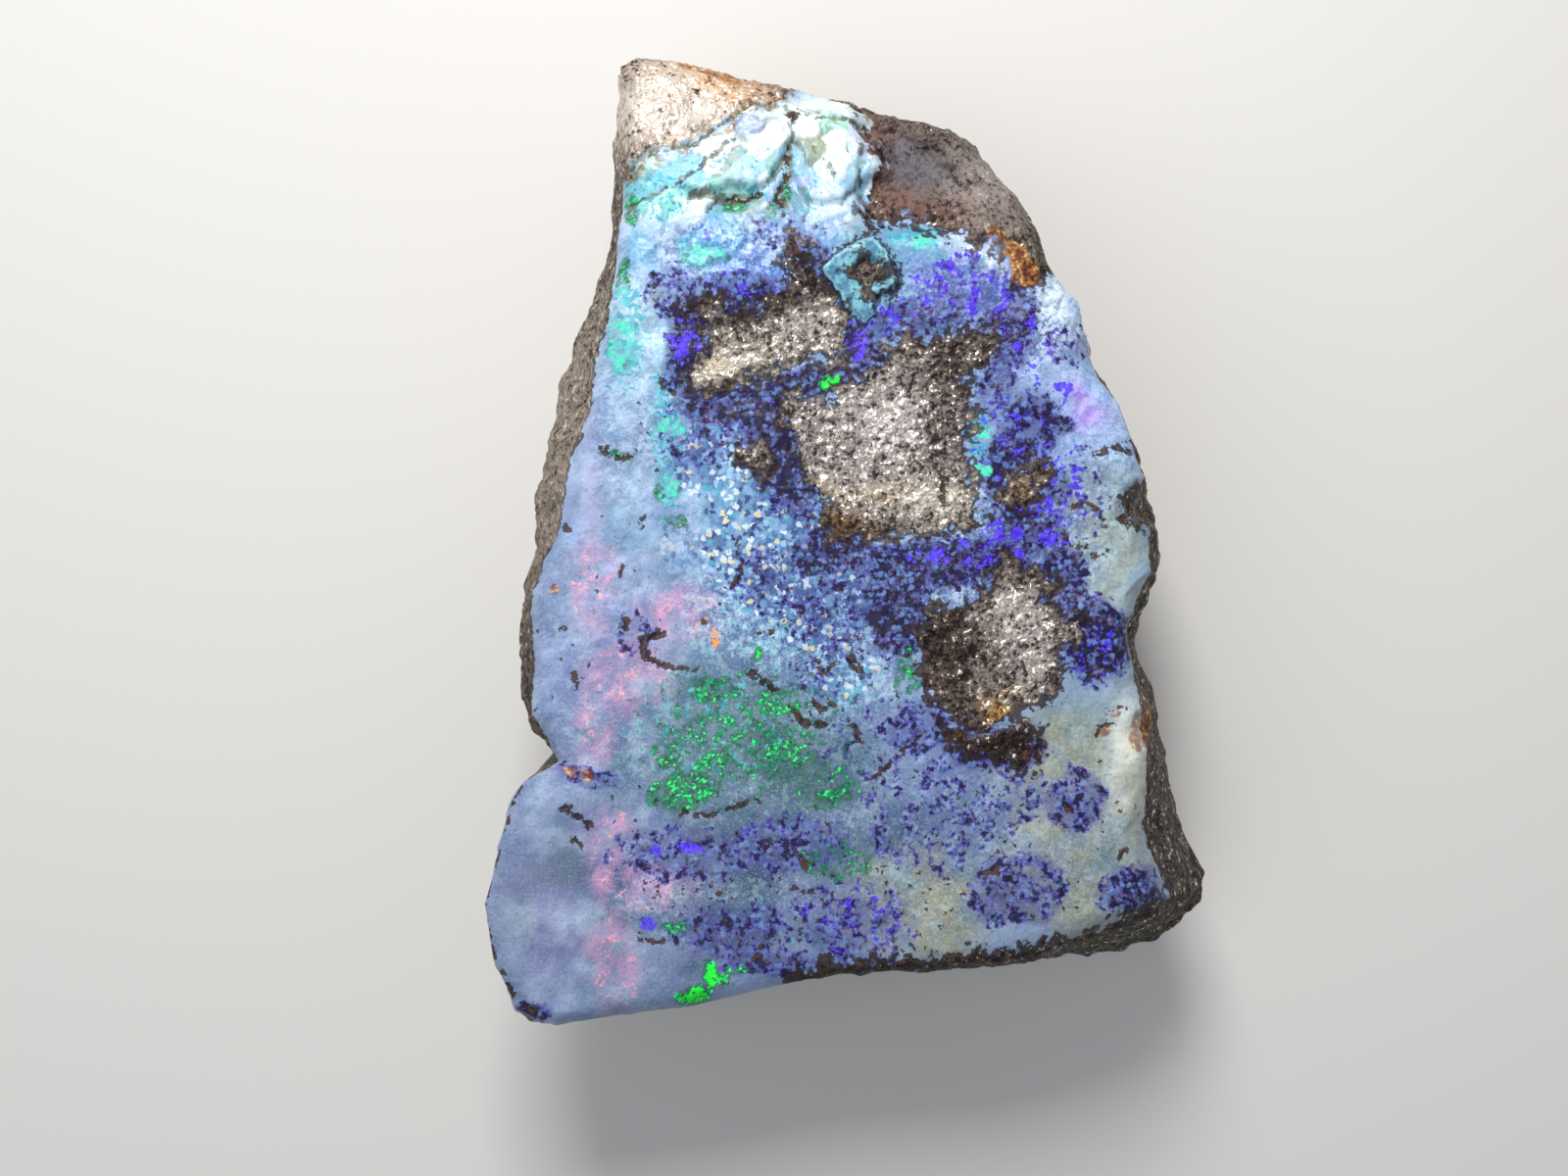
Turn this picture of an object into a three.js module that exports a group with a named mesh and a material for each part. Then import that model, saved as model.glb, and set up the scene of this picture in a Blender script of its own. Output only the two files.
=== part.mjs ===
// A rough piece of boulder opal: one stone of dark ironstone with a seam of precious opal
// across its broad face. Millimetres, +Z up. The stone lies on its back with the opal face up
// and its narrow tip toward +Y. The origin lies under the middle of its bounding box, on the
// plane that it rests on.

import * as THREE from 'three';
import { mergeVertices } from 'three/addons/utils/BufferGeometryUtils.js';

// Driving dimensions
const THICKNESS = 18; // from the flat spot on the back to the plane of the opal face
const BELT_DEPTH = 8; // depth of the stone's widest outline below the face
const BACK_EDGE_HEIGHT = 3.6; // height at which the side turns under to the back
const BACK_SCALE = 0.8; // size of the outline there, as a share of the widest one
const BACK_SINK = 2.2; // how far the back would bulge below the plane that cuts its flat spot
const BACK_TURN = Math.PI / 3; // how far the side turns under between the belt and the back

// Form of the face
const EDGE_ROLL = 0.8; // drop of the face at its rim
const EDGE_WIDTH = 1.6; // width of the strip that rolls down to the rim
const TIP_SLOPE_START = 18.3; // the face leans back from this Y on, toward the tip
const TIP_SLOPE = 0.36;
const TIP_BEND = 2.5; // length over which the lean sets in
const SHOULDER_START = 8; // the upper right shoulder falls away to the right of this X
const SHOULDER_SLOPE = 0.38;
const FACE_WAVE = 0.22; // height of the broad waves in the face
const FLANK_LUMPS = 0.45; // height of the lumps on the sides
const BACK_LUMPS = 0.5; // height of the lumps on the back

// Cells of the surface lattice, across the stone, along it and through its thickness
const CELLS_ACROSS = 30;
const CELLS_ALONG = 42;
const CELLS_THROUGH = 10;

// The rim of the face, seen from above, in four runs between its corners.
// Top and bottom go from left to right, left and right go from bottom to top.
const RIM = {
  top: [
    [-13.6, 29.1], [-12.7, 29.7], [-10.8, 29.5], [-7.6, 28.8], [-4.6, 28.0], [-1.3, 27.1],
    [2.4, 26.1], [4.8, 25.6], [6.3, 25.2], [7.6, 24.5],
  ],
  right: [
    [18.7, -21.6], [18.3, -20.4], [17.7, -18.6], [17.4, -17.0], [17.8, -14.8], [17.8, -12.7],
    [17.2, -11.4], [17.5, -10.2], [16.9, -8.7], [16.8, -5.4], [17.6, -3.0], [18.4, -2.0],
    [17.9, -0.7], [18.0, 0.9], [17.0, 1.3], [17.0, 2.3], [17.7, 3.6], [17.1, 6.1],
    [16.4, 8.0], [15.3, 9.2], [14.6, 10.4], [14.2, 12.3], [14.0, 14.0], [13.1, 14.9],
    [12.2, 16.3], [11.8, 18.2], [10.7, 21.0], [9.4, 22.2], [8.2, 23.4], [7.6, 24.5],
  ],
  bottom: [
    [-18.4, -28.9], [-17.0, -29.1], [-14.3, -28.7], [-8.9, -28.0], [-3.6, -26.7],
    [-0.7, -26.1], [5.2, -25.8], [10.8, -25.2], [12.3, -24.6], [13.5, -24.0],
    [15.3, -23.4], [17.6, -22.7], [18.7, -21.6],
  ],
  left: [
    [-18.4, -28.9], [-19.5, -28.2], [-20.3, -26.6], [-21.0, -25.2], [-21.5, -21.9],
    [-20.7, -19.1], [-19.9, -15.8], [-19.2, -14.6], [-16.8, -13.5], [-17.3, -12.5],
    [-18.5, -10.7], [-18.0, -8.3], [-18.3, -3.6], [-16.8, 0.5], [-15.6, 5.2],
    [-14.1, 11.7], [-13.4, 15.2], [-13.5, 17.6], [-13.0, 19.7], [-13.2, 25.5], [-13.6, 29.1],
  ],
};

// The widest outline of the stone, in the same four runs
const BELT = {
  top: [[-14.3, 29.6], [-10.8, 30.0], [-4.6, 28.6], [2.4, 26.7], [6.6, 25.7], [8.2, 25.0]],
  right: [
    [23.3, -22.4], [23.3, -21.2], [22.1, -19.0], [21.2, -16.8], [21.0, -15.2], [20.4, -11.1],
    [19.5, -8.4], [18.4, -6.3], [18.8, -5.2], [20.3, -1.1], [20.4, 1.2], [19.8, 3.4],
    [18.6, 5.6], [17.2, 8.4], [15.4, 11.0], [14.6, 14.2], [12.8, 16.8], [12.2, 19.6],
    [10.2, 22.6], [8.2, 25.0],
  ],
  bottom: [
    [-18.8, -29.4], [-17.2, -29.8], [-9.0, -28.6], [-3.8, -27.4], [2.7, -26.9], [9.5, -26.6],
    [13.8, -26.5], [18.0, -26.1], [21.0, -25.0], [22.7, -23.6], [23.3, -22.4],
  ],
  left: [
    [-18.8, -29.4], [-20.2, -28.6], [-21.4, -25.4], [-22.0, -22.0], [-21.2, -18.6],
    [-20.2, -15.6], [-18.2, -13.4], [-19.7, -11.7], [-20.8, -9.3], [-21.2, -6.0],
    [-20.6, -2.0], [-19.6, 2.0], [-19.2, 5.8], [-18.0, 9.5], [-17.0, 12.7], [-15.6, 15.8],
    [-14.8, 18.9], [-14.4, 22.1], [-14.4, 25.2], [-14.3, 29.6],
  ],
};

// Broken faces round the underside: the way each one looks, as degrees round from +X and
// degrees above level, and its distance from the middle of the stone
const BREAKS = [
  { round: 180, above: -30, distance: 15.4 },
  { round: 120, above: -55, distance: 17.4 },
  { round: 60, above: -45, distance: 16.2 },
  { round: 15, above: -35, distance: 14.6 },
  { round: 325, above: -60, distance: 15.4 },
  { round: 270, above: -35, distance: 21.4 },
  { round: 225, above: -45, distance: 20.8 },
];

// Places on the face that stand above or below it: the outline, the height of the step
// and the width over which it rises or falls
const STEPS = [
  {
    name: 'upper ironstone patch', height: -0.12, width: 0.7,
    outline: [
      [-3.2, 17.7], [-1.9, 15.4], [-0.4, 14.1], [0.1, 12.6], [-0.1, 10.4], [-1.6, 10.8],
      [-4.7, 9.6], [-7.4, 8.8], [-9.2, 9.6], [-8.1, 12.0], [-9.4, 13.4], [-7.7, 14.7],
      [-6.9, 13.1], [-5.2, 13.2], [-4.0, 14.7], [-2.7, 15.0], [-3.3, 16.6],
    ],
  },
  {
    name: 'middle ironstone patch', height: -0.16, width: 0.8,
    outline: [
      [2.6, 11.4], [8.2, 12.3], [9.3, 11.4], [7.1, 9.5], [7.5, 7.0], [7.1, 6.1], [7.5, 3.6],
      [7.7, 0.7], [5.2, -0.1], [3.5, 0.4], [-0.5, -0.3], [-1.2, 1.2], [-2.6, 4.6],
      [-3.8, 7.4], [-3.6, 8.6], [-0.7, 8.1], [1.0, 9.6],
    ],
  },
  {
    name: 'lower ironstone patch', height: -0.16, width: 0.8,
    outline: [
      [9.6, -1.0], [12.4, -2.8], [11.7, -3.9], [14.0, -4.9], [13.1, -6.5], [12.6, -8.8],
      [11.3, -9.8], [8.6, -11.4], [6.3, -10.7], [4.7, -8.6], [4.5, -6.3], [4.6, -5.0],
      [6.8, -4.2], [8.3, -3.6],
    ],
  },
  {
    name: 'white shell of opal near the tip', height: 0.55, width: 0.5,
    outline: [
      [-10.2, 20.9], [-9.0, 22.2], [-6.6, 23.8], [-4.4, 24.8], [-3.4, 24.5], [-3.2, 23.8],
      [-3.8, 22.2], [-4.6, 21.0], [-5.6, 20.7], [-6.9, 20.9], [-9.0, 20.4],
    ],
  },
  {
    name: 'second lump of opal beside it', height: 0.5, width: 0.6,
    outline: [
      [-2.9, 24.0], [-1.8, 24.7], [-0.2, 24.5], [0.9, 23.4], [0.8, 20.9], [-0.2, 19.8],
      [-2.3, 19.9], [-3.0, 21.7],
    ],
  },
  {
    name: 'hollow at the upper right', height: -1.3, width: 1.8,
    outline: [
      [1.0, 24.3], [2.3, 23.5], [2.6, 22.2], [1.0, 20.7], [1.3, 18.8], [2.6, 18.1],
      [6.2, 18.3], [7.2, 20.3], [5.6, 23.4], [3.4, 25.0],
    ],
  },
  {
    name: 'square flake', height: 0.36, width: 0.4,
    outline: [
      [-1.5, 16.1], [-0.2, 17.0], [1.6, 17.9], [2.4, 17.1], [3.3, 15.1], [1.9, 14.4],
      [1.7, 13.4], [1.3, 12.7], [0.3, 13.3], [-0.5, 14.5],
    ],
  },
];

// Colours
const OPAL_COLOUR = 0x7f93c4;
const STONE_ROUGHNESS = 0.35;

// A smooth step from 0 to 1 as x goes from 0 to width
const rise = (x, width) => THREE.MathUtils.smoothstep(x, 0, width);

// One run of an outline as a path that gives its points by distance along it
function pathOf(points) {
  const path = new THREE.CurvePath();
  for (let i = 1; i < points.length; i += 1) {
    const start = new THREE.Vector2(...points[i - 1]);
    const end = new THREE.Vector2(...points[i]);
    path.add(new THREE.LineCurve(start, end));
  }
  return path;
}

function ringOf(runs, scale) {
  const ring = {};
  for (const [side, points] of Object.entries(runs)) {
    ring[side] = pathOf(points.map(([x, y]) => [x * scale, y * scale]));
  }
  return ring;
}

// The point of a ring that belongs to the lattice place (u, v) on the border of the sheet
function ringPoint(ring, u, v) {
  if (v === 0) return ring.bottom.getPoint(u);
  if (v === 1) return ring.top.getPoint(u);
  return u === 0 ? ring.left.getPoint(v) : ring.right.getPoint(v);
}

// A sheet stretched over a ring, each inner point led by the four runs around it
function sheetPoint(ring, u, v) {
  const between = (start, end, share) => start.clone().lerp(end, share);
  const upright = between(ring.bottom.getPoint(u), ring.top.getPoint(u), v);
  const level = between(ring.left.getPoint(v), ring.right.getPoint(v), u);
  const low = between(ring.bottom.getPoint(0), ring.bottom.getPoint(1), u);
  const high = between(ring.top.getPoint(0), ring.top.getPoint(1), u);
  return upright.add(level).sub(between(low, high, v));
}

// How far (x, y) lies inside a closed outline, below zero outside it
function depthInside(outline, x, y) {
  let nearest = Infinity;
  let inside = false;
  for (let i = 0; i < outline.length; i += 1) {
    const [ax, ay] = outline[i];
    const [bx, by] = outline[(i + 1) % outline.length];
    const span = (bx - ax) ** 2 + (by - ay) ** 2;
    const along = ((x - ax) * (bx - ax) + (y - ay) * (by - ay)) / span;
    const share = THREE.MathUtils.clamp(along, 0, 1);
    nearest = Math.min(nearest, Math.hypot(ax + share * (bx - ax) - x, ay + share * (by - ay) - y));
    if (ay > y !== by > y && x < ax + ((y - ay) * (bx - ax)) / (by - ay)) inside = !inside;
  }
  return inside ? nearest : -nearest;
}

// Uneven lumps between about -1 and 1, a few millimetres across
function lumps(x, y, z) {
  const bentX = x + 1.5 * Math.sin(0.41 * y + 0.3 * z);
  const bentY = y + 1.5 * Math.sin(0.37 * x - 0.5 * z + 1);
  return (
    0.6 * Math.sin(0.55 * bentX + 0.2 * z + 0.4) * Math.sin(0.5 * bentY - 0.45 * z + 1.9) +
    0.4 * Math.sin(1.15 * bentY + 0.8 * z + 2.1) * Math.sin(1.05 * bentX - 0.9 * z + 0.3) +
    0.25 * Math.sin(2.1 * bentX + 1.3 * z) * Math.sin(2.3 * bentY - 1.2 * z + 4)
  );
}

// Height of the face at (x, y), which lies the given distance inside the rim
function faceHeight(x, y, fromRim) {
  const beyondTipLine = Math.max(0, y + 0.12 * (x + 13) - TIP_SLOPE_START);
  const towardTip = beyondTipLine ** 2 / (beyondTipLine + TIP_BEND);
  const towardShoulder = Math.max(0, x - SHOULDER_START + 0.55 * (y - 20));
  const shoulder = SHOULDER_SLOPE * towardShoulder * rise(y - 15, 5);
  const roll = EDGE_ROLL * Math.max(0, 1 - fromRim / EDGE_WIDTH) ** 2;
  let height = THICKNESS - TIP_SLOPE * towardTip - shoulder - roll;
  height += FACE_WAVE * lumps(0.45 * x, 0.45 * y, 0);
  for (const step of STEPS) {
    height += step.height * rise(depthInside(step.outline, x, y) + step.width / 2, step.width);
  }
  return height;
}

const rim = ringOf(RIM, 1);
const belt = ringOf(BELT, 1);
const back = ringOf(BELT, BACK_SCALE);
const beltHeight = THICKNESS - BELT_DEPTH;

// The distance from a place in the sheet to its nearest border, in millimetres
function distanceFromRim(u, v) {
  const width = rim.left.getPoint(v).distanceTo(rim.right.getPoint(v));
  const length = rim.bottom.getPoint(u).distanceTo(rim.top.getPoint(u));
  return Math.min(u * width, (1 - u) * width, v * length, (1 - v) * length);
}

function facePoint(u, v) {
  const flat = sheetPoint(rim, u, v);
  return new THREE.Vector3(flat.x, flat.y, faceHeight(flat.x, flat.y, distanceFromRim(u, v)));
}

// The back: a shallow bulge under the turned-in side, cut flat where the stone rests
function backPoint(u, v) {
  const flat = sheetPoint(back, u, v);
  const middle = 16 * u * (1 - u) * v * (1 - v);
  const bulge = (BACK_EDGE_HEIGHT + BACK_SINK) * middle;
  const height = BACK_EDGE_HEIGHT - bulge + BACK_LUMPS * middle * lumps(flat.x, flat.y, 3);
  return new THREE.Vector3(flat.x, flat.y, Math.max(0, height));
}

// The side: from the rim out to the belt, then round and under to the edge of the back
function sidePoint(u, v, w) {
  const widest = ringPoint(belt, u, v);
  let flat;
  let height;
  if (w >= 0.5) {
    const share = 2 * (1 - w);
    const edge = ringPoint(rim, u, v);
    const start = faceHeight(edge.x, edge.y, 0);
    flat = edge.lerp(widest, share ** 0.85);
    height = THREE.MathUtils.lerp(start, beltHeight, share);
  } else {
    const turn = (1 - 2 * w) * BACK_TURN;
    const inward = (1 - Math.cos(turn)) / (1 - Math.cos(BACK_TURN));
    const down = Math.sin(turn) / Math.sin(BACK_TURN);
    flat = widest.lerp(ringPoint(back, u, v), inward);
    height = THREE.MathUtils.lerp(beltHeight, BACK_EDGE_HEIGHT, down);
  }
  const fade = 1 - (2 * w - 1) ** 4;
  const outward = flat.clone().normalize();
  flat.addScaledVector(outward, FLANK_LUMPS * fade * lumps(flat.x, flat.y, height));
  return new THREE.Vector3(flat.x, flat.y, height);
}

// Moves a point of the side or the back onto each broken face that it lies beyond
function cutByBreaks(point) {
  const middle = new THREE.Vector3(0, 0, THICKNESS / 2);
  for (const { round, above, distance } of BREAKS) {
    const level = Math.cos(THREE.MathUtils.degToRad(above));
    const facing = new THREE.Vector3(
      level * Math.cos(THREE.MathUtils.degToRad(round)),
      level * Math.sin(THREE.MathUtils.degToRad(round)),
      Math.sin(THREE.MathUtils.degToRad(above)),
    );
    const beyond = point.clone().sub(middle).dot(facing) - distance;
    point.addScaledVector(facing, -Math.max(0, beyond));
  }
  return point;
}

function surfacePoint(u, v, w) {
  const onBorder = u === 0 || u === 1 || v === 0 || v === 1;
  if (w === 1) return facePoint(u, v);
  return cutByBreaks(w === 0 && !onBorder ? backPoint(u, v) : sidePoint(u, v, w));
}

// The stone starts as a box divided into cells, and each of its points moves to the surface
function makeOpal() {
  const lattice = new THREE.BoxGeometry(1, 1, 1, CELLS_ACROSS, CELLS_ALONG, CELLS_THROUGH);
  const places = lattice.attributes.position;
  const share = (value, cells) => Math.round((value + 0.5) * cells) / cells;
  for (let i = 0; i < places.count; i += 1) {
    const u = share(places.getX(i), CELLS_ACROSS);
    const v = share(places.getY(i), CELLS_ALONG);
    const w = share(places.getZ(i), CELLS_THROUGH);
    const point = surfacePoint(u, v, w);
    places.setXYZ(i, point.x, point.y, point.z);
  }
  lattice.deleteAttribute('normal');
  lattice.deleteAttribute('uv');
  const stone = mergeVertices(lattice, 1e-4);
  stone.computeBoundingBox();
  const middle = stone.boundingBox.getCenter(new THREE.Vector3());
  stone.translate(-middle.x, -middle.y, 0);
  stone.computeVertexNormals();
  const material = new THREE.MeshStandardMaterial({
    color: OPAL_COLOUR,
    roughness: STONE_ROUGHNESS,
    metalness: 0,
  });
  const mesh = new THREE.Mesh(stone, material);
  mesh.name = 'opal';
  return mesh;
}

const model = new THREE.Group();
model.add(makeOpal());

export default model;
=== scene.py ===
import itertools
import math

import bpy
import numpy as np
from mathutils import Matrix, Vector


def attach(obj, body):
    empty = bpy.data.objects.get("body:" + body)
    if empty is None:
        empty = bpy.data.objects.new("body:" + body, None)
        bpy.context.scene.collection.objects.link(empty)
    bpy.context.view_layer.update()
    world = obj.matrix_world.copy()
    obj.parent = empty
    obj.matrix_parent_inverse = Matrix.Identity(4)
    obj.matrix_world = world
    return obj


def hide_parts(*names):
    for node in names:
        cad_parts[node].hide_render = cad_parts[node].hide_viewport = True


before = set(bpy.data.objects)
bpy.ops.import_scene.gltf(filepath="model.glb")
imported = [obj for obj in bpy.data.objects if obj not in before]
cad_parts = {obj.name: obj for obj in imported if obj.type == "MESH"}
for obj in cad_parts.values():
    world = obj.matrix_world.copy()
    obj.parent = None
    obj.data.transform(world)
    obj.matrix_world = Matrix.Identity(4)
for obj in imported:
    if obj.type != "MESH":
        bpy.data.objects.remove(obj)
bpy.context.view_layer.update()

# Everything about the shape is in millimetres, in the frame of the outlines below. The mesh
# is centred on the frame's origin and turned into metres when it is made.
MM = 0.001

# Size and broad form of the stone, the same as in its solid
THICKNESS = 18.0
BELT_DEPTH = 8.0
BACK_EDGE_HEIGHT = 3.6
BACK_SCALE = 0.8
BACK_SINK = 2.2
BACK_TURN = math.pi / 3
SIDE_CURVE = 0.85
EDGE_ROLL = 0.8
EDGE_WIDTH = 1.6
TIP_X = -13
TIP_LEAN = 0.12
TIP_SLOPE_START = 18.3
TIP_SLOPE = 0.36
TIP_BEND = 2.5
SHOULDER_START = 8.0
SHOULDER_LEAN = 0.55
SHOULDER_LOW, SHOULDER_FULL = 15, 20
SHOULDER_SLOPE = 0.38
FACE_WAVE = 0.22
WAVE_SCALE = 0.45
FLANK_LUMPS = 0.45
BACK_LUMPS = 0.5

# The photograph's view: the camera looks straight down on the face
PHOTO_WIDTH, PHOTO_HEIGHT = 1600, 1200
PIXELS_PER_MM = 17.2  # on the face
FOCAL_PIXELS = 1750
FACE_ORIGIN_PIXEL = (862, 548)  # the outlines' origin, as the photograph shows it on the face
CAMERA_HEIGHT = THICKNESS + FOCAL_PIXELS / PIXELS_PER_MM
CAMERA_X = (PHOTO_WIDTH / 2 - FACE_ORIGIN_PIXEL[0]) / PIXELS_PER_MM
CAMERA_Y = (FACE_ORIGIN_PIXEL[1] - PHOTO_HEIGHT / 2) / PIXELS_PER_MM
SENSOR_WIDTH = 36.0
LIT_PLACE = (0, 0, 12)
FLOOR_SIZE = 6.0  # metres
FLOOR_COLOUR = (210, 208, 204)
SKY_COLOUR = (0.86, 0.9, 1.0, 1.0)
SKY_STRENGTH = 0.3

SHEAR = (-0.35, -0.25)  # how flat textures lean as they go down the sides
BUMP_REACH = 0.2

# Cells of the fine surface. The first two are multiples of three, because the lower side and
# the back have a third as many.
CELLS_ACROSS = 201
CELLS_ALONG = 288
UPPER_ROWS = 24
LOWER_ROWS = 12
COARSER = 3

# The rim of the face and the stone's widest outline, each in four runs between corners
RIM = {
    "top": [
        (-13.6, 29.1), (-12.7, 29.7), (-10.8, 29.5), (-7.6, 28.8), (-4.6, 28.0), (-1.3, 27.1),
        (2.4, 26.1), (4.8, 25.6), (6.3, 25.2), (7.6, 24.5),
    ],
    "right": [
        (18.7, -21.6), (18.3, -20.4), (17.7, -18.6), (17.4, -17.0), (17.8, -14.8), (17.8, -12.7),
        (17.2, -11.4), (17.5, -10.2), (16.9, -8.7), (16.8, -5.4), (17.6, -3.0), (18.4, -2.0),
        (17.9, -0.7), (18.0, 0.9), (17.0, 1.3), (17.0, 2.3), (17.7, 3.6), (17.1, 6.1), (16.4, 8.0),
        (15.3, 9.2), (14.6, 10.4), (14.2, 12.3), (14.0, 14.0), (13.1, 14.9), (12.2, 16.3), (11.8, 18.2),
        (10.7, 21.0), (9.4, 22.2), (8.2, 23.4), (7.6, 24.5),
    ],
    "bottom": [
        (-18.4, -28.9), (-17.0, -29.1), (-14.3, -28.7), (-8.9, -28.0), (-3.6, -26.7), (-0.7, -26.1),
        (5.2, -25.8), (10.8, -25.2), (12.3, -24.6), (13.5, -24.0), (15.3, -23.4), (17.6, -22.7),
        (18.7, -21.6),
    ],
    "left": [
        (-18.4, -28.9), (-19.5, -28.2), (-20.3, -26.6), (-21.0, -25.2), (-21.5, -21.9), (-20.7, -19.1),
        (-19.9, -15.8), (-19.2, -14.6), (-16.8, -13.5), (-17.3, -12.5), (-18.5, -10.7), (-18.0, -8.3),
        (-18.3, -3.6), (-16.8, 0.5), (-15.6, 5.2), (-14.1, 11.7), (-13.4, 15.2), (-13.5, 17.6),
        (-13.0, 19.7), (-13.2, 25.5), (-13.6, 29.1),
    ],
}
BELT = {
    "top": [
        (-14.3, 29.6), (-10.8, 30.0), (-4.6, 28.6), (2.4, 26.7), (6.6, 25.7), (8.2, 25.0),
    ],
    "right": [
        (23.3, -22.4), (23.3, -21.2), (22.1, -19.0), (21.2, -16.8), (21.0, -15.2), (20.4, -11.1),
        (19.5, -8.4), (18.4, -6.3), (18.8, -5.2), (20.3, -1.1), (20.4, 1.2), (19.8, 3.4), (18.6, 5.6),
        (17.2, 8.4), (15.4, 11.0), (14.6, 14.2), (12.8, 16.8), (12.2, 19.6), (10.2, 22.6), (8.2, 25.0),
    ],
    "bottom": [
        (-18.8, -29.4), (-17.2, -29.8), (-9.0, -28.6), (-3.8, -27.4), (2.7, -26.9), (9.5, -26.6),
        (13.8, -26.5), (18.0, -26.1), (21.0, -25.0), (22.7, -23.6), (23.3, -22.4),
    ],
    "left": [
        (-18.8, -29.4), (-20.2, -28.6), (-21.4, -25.4), (-22.0, -22.0), (-21.2, -18.6), (-20.2, -15.6),
        (-18.2, -13.4), (-19.7, -11.7), (-20.8, -9.3), (-21.2, -6.0), (-20.6, -2.0), (-19.6, 2.0),
        (-19.2, 5.8), (-18.0, 9.5), (-17.0, 12.7), (-15.6, 15.8), (-14.8, 18.9), (-14.4, 22.1),
        (-14.4, 25.2), (-14.3, 29.6),
    ],
}

# Broken faces round the underside: degrees round from +X, degrees above level, and distance
# from the middle of the stone
BREAKS = [
    (180, -30, 15.4), (120, -55, 17.4), (60, -45, 16.2), (15, -35, 14.6), (325, -60, 15.4),
    (270, -35, 21.4), (225, -45, 20.8),
]

# From here on, places on the face are pixels of the photograph, which the camera's view lays
# on the surface below them.

# Patches of bare ironstone in the opal
UPPER_PATCH = [
    (806, 243), (816, 264), (830, 283), (839, 293), (854, 306), (864, 331), (862, 344), (860, 369),
    (852, 373), (835, 362), (810, 369), (782, 383), (753, 386), (734, 396), (722, 400), (707, 398),
    (703, 383), (715, 367), (722, 342), (715, 327), (700, 318), (713, 304), (730, 295), (734, 312),
    (744, 323), (757, 329), (772, 321), (784, 304), (793, 295), (812, 296), (800, 270),
]
MIDDLE_PATCH = [
    (907, 352), (926, 346), (965, 344), (1003, 336), (1022, 352), (1014, 363), (995, 375), (984, 384),
    (992, 404), (992, 428), (984, 444), (986, 470), (991, 486), (995, 516), (995, 536), (968, 539),
    (952, 550), (938, 552), (922, 541), (899, 548), (876, 548), (853, 552), (841, 527), (847, 510),
    (832, 496), (818, 470), (807, 445), (797, 420), (800, 400), (850, 409), (861, 394), (879, 382),
    (907, 367),
]
LOWER_PATCH = [
    (1027, 566), (1037, 573), (1043, 582), (1060, 587), (1076, 596), (1064, 614), (1082, 628),
    (1103, 633), (1101, 649), (1087, 660), (1082, 681), (1078, 700), (1069, 711), (1057, 717),
    (1038, 724), (1025, 734), (1010, 743), (990, 742), (971, 732), (962, 722), (948, 711), (943, 696),
    (939, 676), (939, 655), (941, 634), (959, 619), (979, 621), (1004, 610),
]
BROWN_PATCH = [
    (968, 742), (990, 752), (1020, 746), (1048, 736), (1062, 752), (1048, 784), (1030, 776), (1004, 770),
    (980, 764),
]
SMALL_OVAL = [
    (1022, 510), (1028, 490), (1042, 477), (1058, 470), (1070, 478), (1066, 497), (1052, 510),
    (1036, 516),
]
SMALL_PATCH = [(748, 462), (775, 455), (790, 470), (778, 484), (758, 480)]
TIP_MATRIX = [
    (600, 30), (820, 80), (800, 104), (759, 117), (734, 130), (705, 141), (677, 153), (657, 156),
    (645, 178), (638, 195), (600, 200),
]
SHOULDER_MATRIX = [
    (872, 112), (896, 130), (881, 144), (902, 163), (882, 205), (884, 224), (926, 222), (957, 233),
    (972, 235), (990, 246), (1009, 240), (1030, 262), (1048, 300), (1075, 262), (1080, 180), (980, 100),
]
RIGHT_BITE = [(1190, 488), (1164, 493), (1148, 508), (1149, 528), (1166, 534), (1190, 540)]
LOWER_EDGE = [
    (800, 1060), (806, 1000), (850, 984), (900, 984), (960, 979), (1010, 976), (1065, 968), (1100, 962),
    (1140, 944), (1180, 920), (1300, 900), (1200, 1060),
]

# Raised and sunken places in the face
WHITE_SHELL = [
    (686, 188), (708, 166), (748, 139), (787, 122), (803, 126), (807, 139), (796, 166), (783, 186),
    (765, 192), (743, 188), (708, 197),
]
SECOND_SHELL = [
    (812, 135), (831, 124), (858, 126), (878, 146), (875, 188), (858, 208), (823, 205), (810, 175),
]
HOLLOW = [
    (880, 130), (902, 144), (906, 166), (880, 192), (884, 224), (906, 236), (968, 233), (986, 198),
    (958, 145), (920, 118),
]
SQUARE_FLAKE = [
    (836, 271), (858, 256), (889, 240), (904, 254), (919, 289), (895, 300), (891, 318), (884, 330),
    (867, 320), (854, 298),
]
FLAKE_CORE = [(870, 274), (882, 263), (903, 269), (907, 286), (893, 297), (877, 293)]

BARE_PATCHES = [
    UPPER_PATCH, MIDDLE_PATCH, LOWER_PATCH, BROWN_PATCH, SMALL_OVAL, SMALL_PATCH, TIP_MATRIX,
    SHOULDER_MATRIX, RIGHT_BITE, LOWER_EDGE, FLAKE_CORE,
]
# Each step's outline, its height in millimetres, the pixels over which it rises or falls, and
# how ragged its edge is
STEPS = [
    (UPPER_PATCH, -0.12, 12, 1.0), (MIDDLE_PATCH, -0.16, 14, 1.0),
    (LOWER_PATCH, -0.16, 14, 1.0), (WHITE_SHELL, 0.55, 6, 0.3), (SECOND_SHELL, 0.5, 8, 0.5),
    (HOLLOW, -1.3, 30, 1.0), (SQUARE_FLAKE, 0.36, 4, 0.2), (FLAKE_CORE, -0.34, 5, 0.3),
]

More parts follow.
